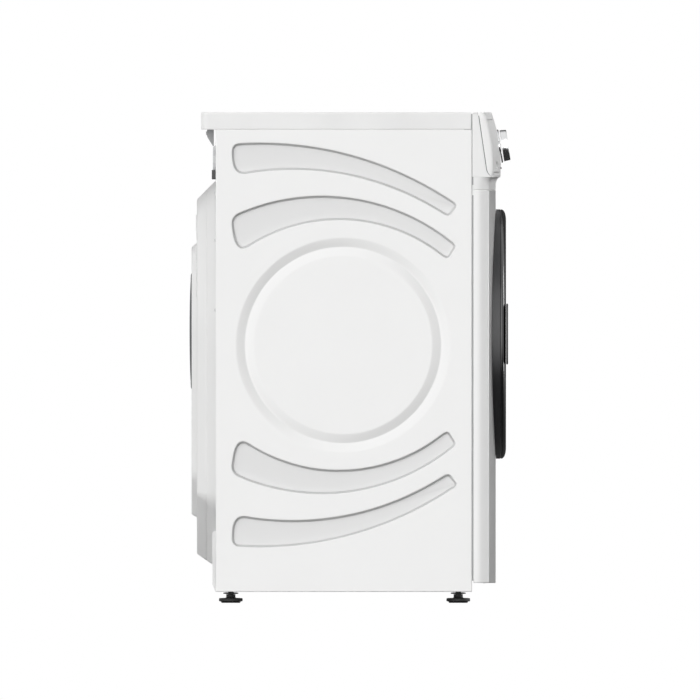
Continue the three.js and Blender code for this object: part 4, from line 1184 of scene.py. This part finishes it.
def duct_loop(inset, radius, shoulder, foot_half, foot, arc_steps=48):
    """The duct cover's outline: round over the drum, with straight sides and a tapered foot."""
    reach = radius - inset
    slope = Vector((radius - foot_half, shoulder - foot)).normalized()
    base = Vector((foot_half, foot)) + Vector((-slope.y, slope.x)) * inset
    lower = foot + FOOT_SLOPE * inset
    foot_x = base.x + slope.x * (lower - base.y) / slope.y
    knee_z = base.y + slope.y * (reach - base.x) / slope.x
    knee_round = max(40 * MM - inset, 12 * MM)
    foot_round = max(16 * MM - inset * 0.3, 8 * MM)
    corners = [(-reach, DRUM_AXIS), (-reach, knee_z), (-foot_x, lower), (foot_x, lower),
               (reach, knee_z), (reach, DRUM_AXIS)]
    sharp = 0.01 * MM
    path = rounded(corners, [sharp, knee_round, foot_round, foot_round, knee_round, sharp], 8)
    turns = [math.pi * i / arc_steps for i in range(1, arc_steps)]
    over = [(reach * math.cos(a), DRUM_AXIS + reach * math.sin(a)) for a in turns]
    return [(-reach, DRUM_AXIS), *path[9:-9], (reach, DRUM_AXIS), *over]


def duct_rows(steps, outline_sizes, y):
    return [[Vector((-u, y + height, v)) for u, v in duct_loop(inset, *outline_sizes)]
            for inset, height in steps]


def duct_cover():
    low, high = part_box("rear_duct_cover")
    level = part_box("bearing_cap")[0].y - 9.6 * MM
    bottom = low.y + 0.2 * MM
    rise, top = (level - bottom) / MM, (high.y - level) / MM
    flank = mm([
        (0, 0), (0, 1.6), (0.3, 2.3), (1.0, 3.0), (6.0, 8.2), (12.2, 14.6), (12.9, 15.2),
        (14.9, 15.5), (15.6, 16.3), (14.6, 17.0), (15.2, 17.8), (22.0, 24.0), (27.0, 28.9),
        (29.2, rise - 1.5), (30.6, rise - 0.5), (32.4, rise), (37.0, rise)])
    skin = Skin()
    skin.rows(duct_rows(flank, DUCT_MAIN, bottom), closed=True, flip=True)
    ribs = rib_loops()
    skin.patch(back_surface(level), duct_loop(flank[-1][0], *DUCT_MAIN),
               [duct_loop(0, *DUCT_RAISED), *ribs])
    rib = mm([(0, 0), (1, 0), (1.6, -0.3), (2.6, -1.6), (3.4, -2.0), (4.6, -2.0)])
    for loop in ribs:
        skin.polygon(skin.rim(back_surface(level), loop, rib, hole=True))
    raised = mm([(0, 0), (1, 0), (2, 0.6), (3.4, 2), (7.4, top - 2.2), (8.8, top - 0.7),
                 (10.4, top - 0.1), (12, top), (14, top)])
    rows = duct_rows(raised, DUCT_RAISED, level)
    skin.rows(rows, closed=True, flip=True)
    skin.polygon(rows[-1][::-1])
    make("rear_duct_moulding", skin, DUCT_WHITE, "cabinet", ["rear_duct_cover"],
         thickness=1.2 * MM)

    radius = DUCT_MAIN[0]
    places = [(math.cos(a), math.sin(a)) for a in map(math.radians, (8, 37, 66, 114, 143, 172))]
    ear = mm([(0, 0), (8, 0), (8, -1.2), (7.4, -1.8), (0, -1.8)])
    ears = [turned(ear, Vector((radius * x, bottom, DRUM_AXIS + radius * z)), 32)
            for x, z in places]
    make("duct_ears", joined(ears), WHITE_PLASTIC, "cabinet", solid=True)
    reach = radius + 3.6 * MM
    screws("duct_screws", 2.6, [(reach * x, bottom + 1.8 * MM, DRUM_AXIS + reach * z)
                                for x, z in places])


def rib_loops(steps=14):
    """Stiffening ribs between the raised middle and the flank, as arcs above and bars below."""
    inner, outer = 180 * MM, 204 * MM
    ends = (0, steps, steps + 1, 2 * steps + 1)
    radii = [5 * MM if i in ends else 0.5 * MM for i in range(2 * steps + 2)]
    loops = []
    for start, end in ((18, 50), (58, 86), (94, 122), (130, 162)):
        sweep = [math.radians(start + (end - start) * i / steps) for i in range(steps + 1)]
        corners = [(r * math.cos(a), DRUM_AXIS + r * math.sin(a))
                   for r, turns in ((outer, sweep), (inner, sweep[::-1])) for a in turns]
        loops.append(rounded(corners, radii, 3))
    for side in (-1, 1):
        left, right = sorted((side * 182 * MM, side * 204 * MM))
        loops.append(rectangle(left, right, 250 * MM, 440 * MM, 8 * MM))
    return loops


def bearing_cap():
    """A dark cap with a stepped face. Its profile is in shares of its radius and its rise."""
    low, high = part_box("bearing_cap")
    radius, rise = size_of("bearing_cap").x / 2, high.y - low.y
    shares = [(1.0, 0.0), (1.0, 0.3), (0.99, 0.42), (0.97, 0.5), (0.915, 0.56), (0.905, 0.46),
              (0.885, 0.42), (0.865, 0.46), (0.855, 0.6), (0.7, 0.76), (0.5, 0.89), (0.34, 0.95),
              (0.33, 0.86), (0.3, 0.84), (0.28, 0.88), (0.27, 0.97)]
    profile = [(0, 0), *shares, (0, 1)]
    profile = [(radius * out, -low.y - rise * up) for out, up in profile]
    make("bearing_cap_dome", turned(profile, Vector((0, 0, centre_of("bearing_cap").z)), 120),
         GREY_PLASTIC, "cabinet", ["bearing_cap"], solid=True)


def screws(name, radius, places):
    """Screws with a dished head, which face the back."""
    head = mm([(0, 0), (radius, 0), (radius, -0.7), (radius * 0.86, -1.3), (radius * 0.5, -1.7),
               (radius * 0.42, -1.7), (radius * 0.3, -0.9), (0, -0.8)])
    make(name, joined(turned(head, Vector(place), 24) for place in places), STEEL, "cabinet",
         solid=True)


def back_details():
    face = BACK_Y - 0.4 * MM
    out, wide, tall = 1.5 * MM, 13 * MM, 3.2 * MM
    profile = [(-wide, 0), (-wide + 2 * MM, out), (wide - 2 * MM, out), (wide, 0)]
    # Rows of a louvre from its top to its return: how far it stands out, its foot and its height
    steps = [(0, 0.05 * MM, tall), (0.8, 0.05 * MM, 0), (1, 0.05 * MM, -tall),
             (0, -0.3 * MM, -tall)]
    slats = Skin()
    for x in (-268, 268):
        for i in range(9):
            z = (560 + 14 * i) * MM
            slats.rows([[Vector((x * MM + u, face + foot + stand * share, z + up))
                         for u, stand in profile] for share, foot, up in steps])
    make("back_louvres", slats, GALVANISED, "cabinet", thickness=0.4 * MM)
    edge = HALF - 12 * MM
    screws("back_screws", 3.4, [(side * edge, face, z * MM) for side in (-1, 1)
                                for z in (180, 330, 480, 610, 760)])
    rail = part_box("rear_top_rail")
    screws("rail_screws", 3.2, [(x * MM, rail[1].y, rail[1].z - 6 * MM) for x in (-230, 0, 230)])


def rear_rail():
    low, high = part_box("rear_top_rail")
    section = [(low.y, low.z), (low.y + 1.4 * MM, low.z), (high.y - 0.6 * MM, low.z + 16 * MM),
               (high.y, low.z + 18 * MM), (high.y, high.z), (low.y, high.z)]
    skin = Skin()
    skin.prism([[Vector((x, y, z)) for y, z in section] for x in (low.x, high.x)])
    make("rear_top_rail_bar", skin, LIGHT_GREY, "cabinet", ["rear_top_rail"],
         solid=True, bevel=0.25 * MM)
    # Small black blocks at the top of each rear corner, just under the worktop.
    corner_blocks = []
    for side in (-1, 1):
        left, right = sorted((side * (HALF - 1.5 * MM), side * (HALF - 9 * MM)))
        corner_blocks.append(bar((left, low.y - 4.6 * MM, 733.5 * MM), (right, low.y + 3.6 * MM, 750 * MM)))
    make("back_corner_blocks", joined(corner_blocks), BLACK_PLASTIC, "cabinet", solid=True,
         bevel=0.8 * MM)


# ---- Feet ----

def feet():
    """Each foot: a pad, a neck and a threaded stem, with its lock nut."""
    pad = [(0, 0), (15.4, 0), (16, 0.4), (17.2, 2.4), (20.0, 2.9), (20.5, 3.5), (20.5, 7.2),
           (20.0, 8.0), (18.8, 8.4), (9.6, 8.8), (8.4, 9.4), (8.0, 10.2), (8.0, 14.9), (5.2, 15.2)]
    nut = mm([(4.9, 15.6), (8.6, 15.4), (13.0, 15.9), (13.0, 17.7), (8.6, 18.3), (4.9, 18.3)])
    pitch = 0.9
    for name in ("foot_front_left", "foot_front_right", "foot_rear_left", "foot_rear_right"):
        centre = centre_of(name)
        place = Vector((centre.x, centre.y, 0))
        top = size_of(name).z / MM
        thread, level = [], 15.6
        while level < top - 0.7:
            thread += [(4.6, level), (5.2, level + pitch / 2), (4.6, level + pitch)]
            level += pitch
        profile = mm([*pad, *thread, (4.2, top), (0, top)])
        make(f"{name}_pad", turned(profile, place, 64, UPWARD), RUBBER, name, [name],
             solid=True)
        make(f"{name}_nut", turned_ring(nut, place, 72, UPWARD), RUBBER, name,
             solid=True)


# ---- Drum ----

def half_steps(around):
    return [math.pi * i / around for i in range(2 * around)]


def drum():
    """The drum's wall: rolled sheet with rows of round holes, between plain bands at its ends."""
    low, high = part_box("drum_shell")
    radius, mouth = (high.x - low.x) / 2, 250 * MM
    around, along = 108, 18
    band, fold = 26 * MM, 6 * MM
    start, end = low.y + band, high.y - band
    pitch_a, pitch_y = 2 * math.pi / around, (end - start) / along
    hole_a, hole_y = 0.3, 0.24

    def place(a, y, r=radius):
        return Vector((r * math.cos(a), y, DRUM_AXIS + r * math.sin(a)))

    square = [(0, 0), (0.5, 0), (1, 0), (1, 0.5), (1, 1), (0.5, 1), (0, 1), (0, 0.5)]
    turns = [math.atan2(v - 0.5, u - 0.5) for u, v in square]
    hole = [(0.5 + hole_a * math.cos(t), 0.5 + hole_y * math.sin(t)) for t in turns]
    skin = Skin()
    for i in range(around):
        for j in range(along):
            skin.rows([[place(pitch_a * (i + u), start + pitch_y * (j + v)) for u, v in loop]
                       for loop in (square, hole)], closed=True)
    lip = [(radius, low.y + fold), (radius - 2 * MM, low.y + 2.4 * MM),
           (radius - 6 * MM, low.y + 0.5 * MM), (radius - 20 * MM, low.y + 0.3 * MM),
           (mouth + 1 * MM, low.y + 0.3 * MM), (mouth, low.y + 1.4 * MM)]
    front_band = [(radius, start), (radius, low.y + fold)]
    rear_band = [(radius, high.y), (radius, end)]
    for steps in (front_band, rear_band, lip):
        skin.rows([[place(a, y, r) for a in half_steps(around)] for r, y in steps], closed=True)
    make("drum_wall", skin, STEEL, "drum", ["drum_shell"], thickness=1.2 * MM)


# ---- CAD nodes that stay ----

# A finish, how far the edges are rounded in millimetres, and the nodes that get them
DRESS = [
    (GALVANISED, 0.8, ["back_panel"]),
    (WHITE_PLASTIC, 1, ["base_pan"]),
    (GALVANISED, 1, ["motor"]),
    (STEEL, 0.8, ["rear_bearing", "drum_shaft", "drum_back", "idler_arm", "motor_rotor"]),
    (STEEL, 0.6, ["latch_hook"]),
    (BLACK_PLASTIC, 0.5, ["mains_inlet"]),
    (BLACK_PLASTIC, 0.6, ["hinge_bracket", "door_hinge_leaf", "idler_pulley", "blower_wheel",
                          "compressor"]),
    (GREY_PLASTIC, 0.7, ["front_bulkhead", "blower_housing", "filter_housing"]),
    (WHITE_PLASTIC, 0.8, ["door_inner_frame", "latch_catch", "lint_filter"]),
    (WHITE_PLASTIC, 4, ["drum_lifter_1", "drum_lifter_2", "drum_lifter_3"]),
    (RUBBER, 0.5, ["door_seal", "drive_belt", "drum_roller_left", "drum_roller_right"]),
    (FELT, 0.4, ["drum_felt_seal"]),
    (BOARD, 0.3, ["control_board"]),
    (ALUMINIUM, 0.4, ["heat_exchanger"]),
    (CLEAR_GLASS, 1, ["water_tank"]),
]


def dress_frame():
    """CAD nodes whose shape is right get a finish and slightly rounded edges."""
    for finish, rounding, names in DRESS:
        for name in names:
            piece = frame["nodes"][name]
            piece.data.materials.clear()
            piece.data.materials.append(finish)
            soften(piece, rounding * MM, 2)


# ---- Stage ----

def floor():
    """A pale floor that fades into the white around it. It takes shadows and throws no light
    back up."""
    finish, tree, shader = material("studio_floor")
    put(shader, {"Base Color": (0.86, 0.86, 0.86, 1), "Roughness": 0.7, "Specular IOR Level": 0.1})
    reach = node(tree, "ShaderNodeVectorMath", {0: own_place(tree)}, "Value", operation="LENGTH")
    fade = node(tree, "ShaderNodeMapRange", {"Value": reach, "From Min": 0.5, "From Max": 1.5},
                interpolation_type="SMOOTHSTEP")
    glow = node(tree, "ShaderNodeEmission", {"Color": (1, 1, 1, 1), "Strength": 1.0})
    shown = mixed(tree, fade, shader.outputs["BSDF"], glow)
    put(tree.nodes["Material Output"], {"Surface": shown})

    rings = [0.3, 0.6, 1.0, 1.5, 3.0, 9.0, 30.0]
    rows = [[Vector((r * math.cos(a), r * math.sin(a), -0.3 * MM)) for a in half_steps(48)]
            for r in rings]
    skin = Skin()
    skin.rows(rows, closed=True, flip=True)
    skin.polygon(rows[0])
    mesh = bpy.data.meshes.new("studio_floor")
    mesh.from_pydata(skin.points, [], skin.faces)
    mesh.materials.append(finish)
    made = new_object("studio_floor", mesh)
    made.visible_glossy = made.visible_diffuse = False


def mixed(tree, share, first, second):
    return node(tree, "ShaderNodeMixShader", {0: share, 1: first, 2: second})


# What the world sends out, and the directions in which it reflects dark or dim
SKY_LOW, SKY_HIGH = (0.05, 0.05, 0.05), (0.42, 0.42, 0.42)
GLOSS_DARK, GLOSS_BRIGHT = (0.05, 0.05, 0.05), (1.25, 1.25, 1.25)
WHITE_LIGHT, NO_LIGHT, DIM_LIGHT = (1, 1, 1), (0, 0, 0), (0.35, 0.35, 0.35)
DARK_SIDE = (0.98, -0.12, 0.1)
DIM_SIDE = (-0.35, 0.9, 0.3)


def world():
    """White behind the object. Its soft light comes mostly from above, and what shows in gloss
    is dark low down and on the far side, and dim behind."""
    made = bpy.data.worlds.new("studio")
    bpy.context.scene.world = made
    made.use_nodes = True
    tree = made.node_tree
    tree.nodes.clear()
    place = node(tree, "ShaderNodeTexCoord", {}, "Generated")

    def along(direction):
        return node(tree, "ShaderNodeVectorMath", {0: place, 1: direction}, "Value",
                    operation="DOT_PRODUCT")

    def background(color):
        return node(tree, "ShaderNodeBackground", {"Color": color, "Strength": 1.0})

    def both(first, second):
        return node(tree, "ShaderNodeMath", {0: first, 1: second}, operation="MULTIPLY")

    def choose(ray, other, own):
        return mixed(tree, node(tree, "ShaderNodeLightPath", {}, ray), other, own)

    height = node(tree, "ShaderNodeMapRange",
                  {"Value": along((0, 0, 1)), "From Min": -1.0, "From Max": 1.0})
    soft = background(ramp(tree, height, 0.3, 0.8, SKY_LOW, SKY_HIGH))
    low_down = ramp(tree, along((0, 0, -1)), 0.12, 0.34, WHITE_LIGHT, NO_LIGHT)
    far_side = ramp(tree, along(DARK_SIDE), 0.5, 0.88, WHITE_LIGHT, NO_LIGHT)
    behind = ramp(tree, along(DIM_SIDE), 0.45, 0.9, WHITE_LIGHT, DIM_LIGHT)
    open_sky = both(both(low_down, far_side), behind)
    gloss = background(ramp(tree, open_sky, 0.0, 1.0, GLOSS_DARK, GLOSS_BRIGHT))
    shown = choose("Is Glossy Ray", soft, gloss)
    shown = choose("Is Camera Ray", shown, background((1, 1, 1, 1)))
    put(tree.nodes.new("ShaderNodeOutputWorld"), {"Surface": shown})


def aimed(name, data, direction):
    """A light that shines along a direction."""
    made = new_object(name, data)
    made.rotation_mode = "QUATERNION"
    made.rotation_quaternion = direction.to_track_quat("-Z", "Y")
    return made


def sun(name, origin, strength, degrees_wide, in_gloss=True):
    lamp = bpy.data.lights.new(name, "SUN")
    lamp.energy, lamp.angle = strength, math.radians(degrees_wide)
    aimed(name, lamp, -Vector(origin)).visible_glossy = in_gloss


def lights():
    """Soft light on every side. A panel in front, on the far side, draws the bright lines along
    the edges and gives no diffuse light."""
    sun("key", (-0.92, 0.36, 0.12), 2.74, 84)
    sun("right_fill", (0.9, -0.4, 0.1), 2.0, 40, in_gloss=False)
    sun("front_fill", (0.2, -0.95, 0.2), 0.4, 40, in_gloss=False)
    sun("back_fill", (0.4, 0.9, 0.1), 0.7, 40, in_gloss=False)
    sun("top_fill", (0.45, -0.2, 0.87), 0.8, 40, in_gloss=False)
    lamp = bpy.data.lights.new("edge_panel", "AREA")
    lamp.shape, lamp.size, lamp.size_y, lamp.energy = "RECTANGLE", 1.0, 2.6, 45
    place, target = Vector((1.1, -3.8, 0.9)), Vector((0, 0, 0.45))
    made = aimed("edge_panel", lamp, target - place)
    made.location = place
    made.visible_diffuse = False


def camera():
    """The photograph's view: square on to the left side."""
    view = bpy.data.cameras.new("camera")
    view.type, view.ortho_scale = "ORTHO", 1.2124
    view.clip_start, view.clip_end = 0.1, 60
    made = new_object("camera", view)
    made.location = (-8, 0.0, 0.438)
    made.rotation_euler = (math.radians(90), 0, math.radians(-90))
    bpy.context.scene.camera = made
    bpy.context.scene.view_settings.view_transform = "Standard"


camera()
world()
lights()
floor()
dress_frame()
side_panel(-1, "left")
side_panel(1, "right")
worktop()
front_panel()
control_frame()
inner_frame()
fascia()
fascia_joint_shade()
tank_drawer()
display()
knob()
buttons()
door()
handle()
duct_cover()
bearing_cap()
back_details()
rear_rail()
feet()
drum()
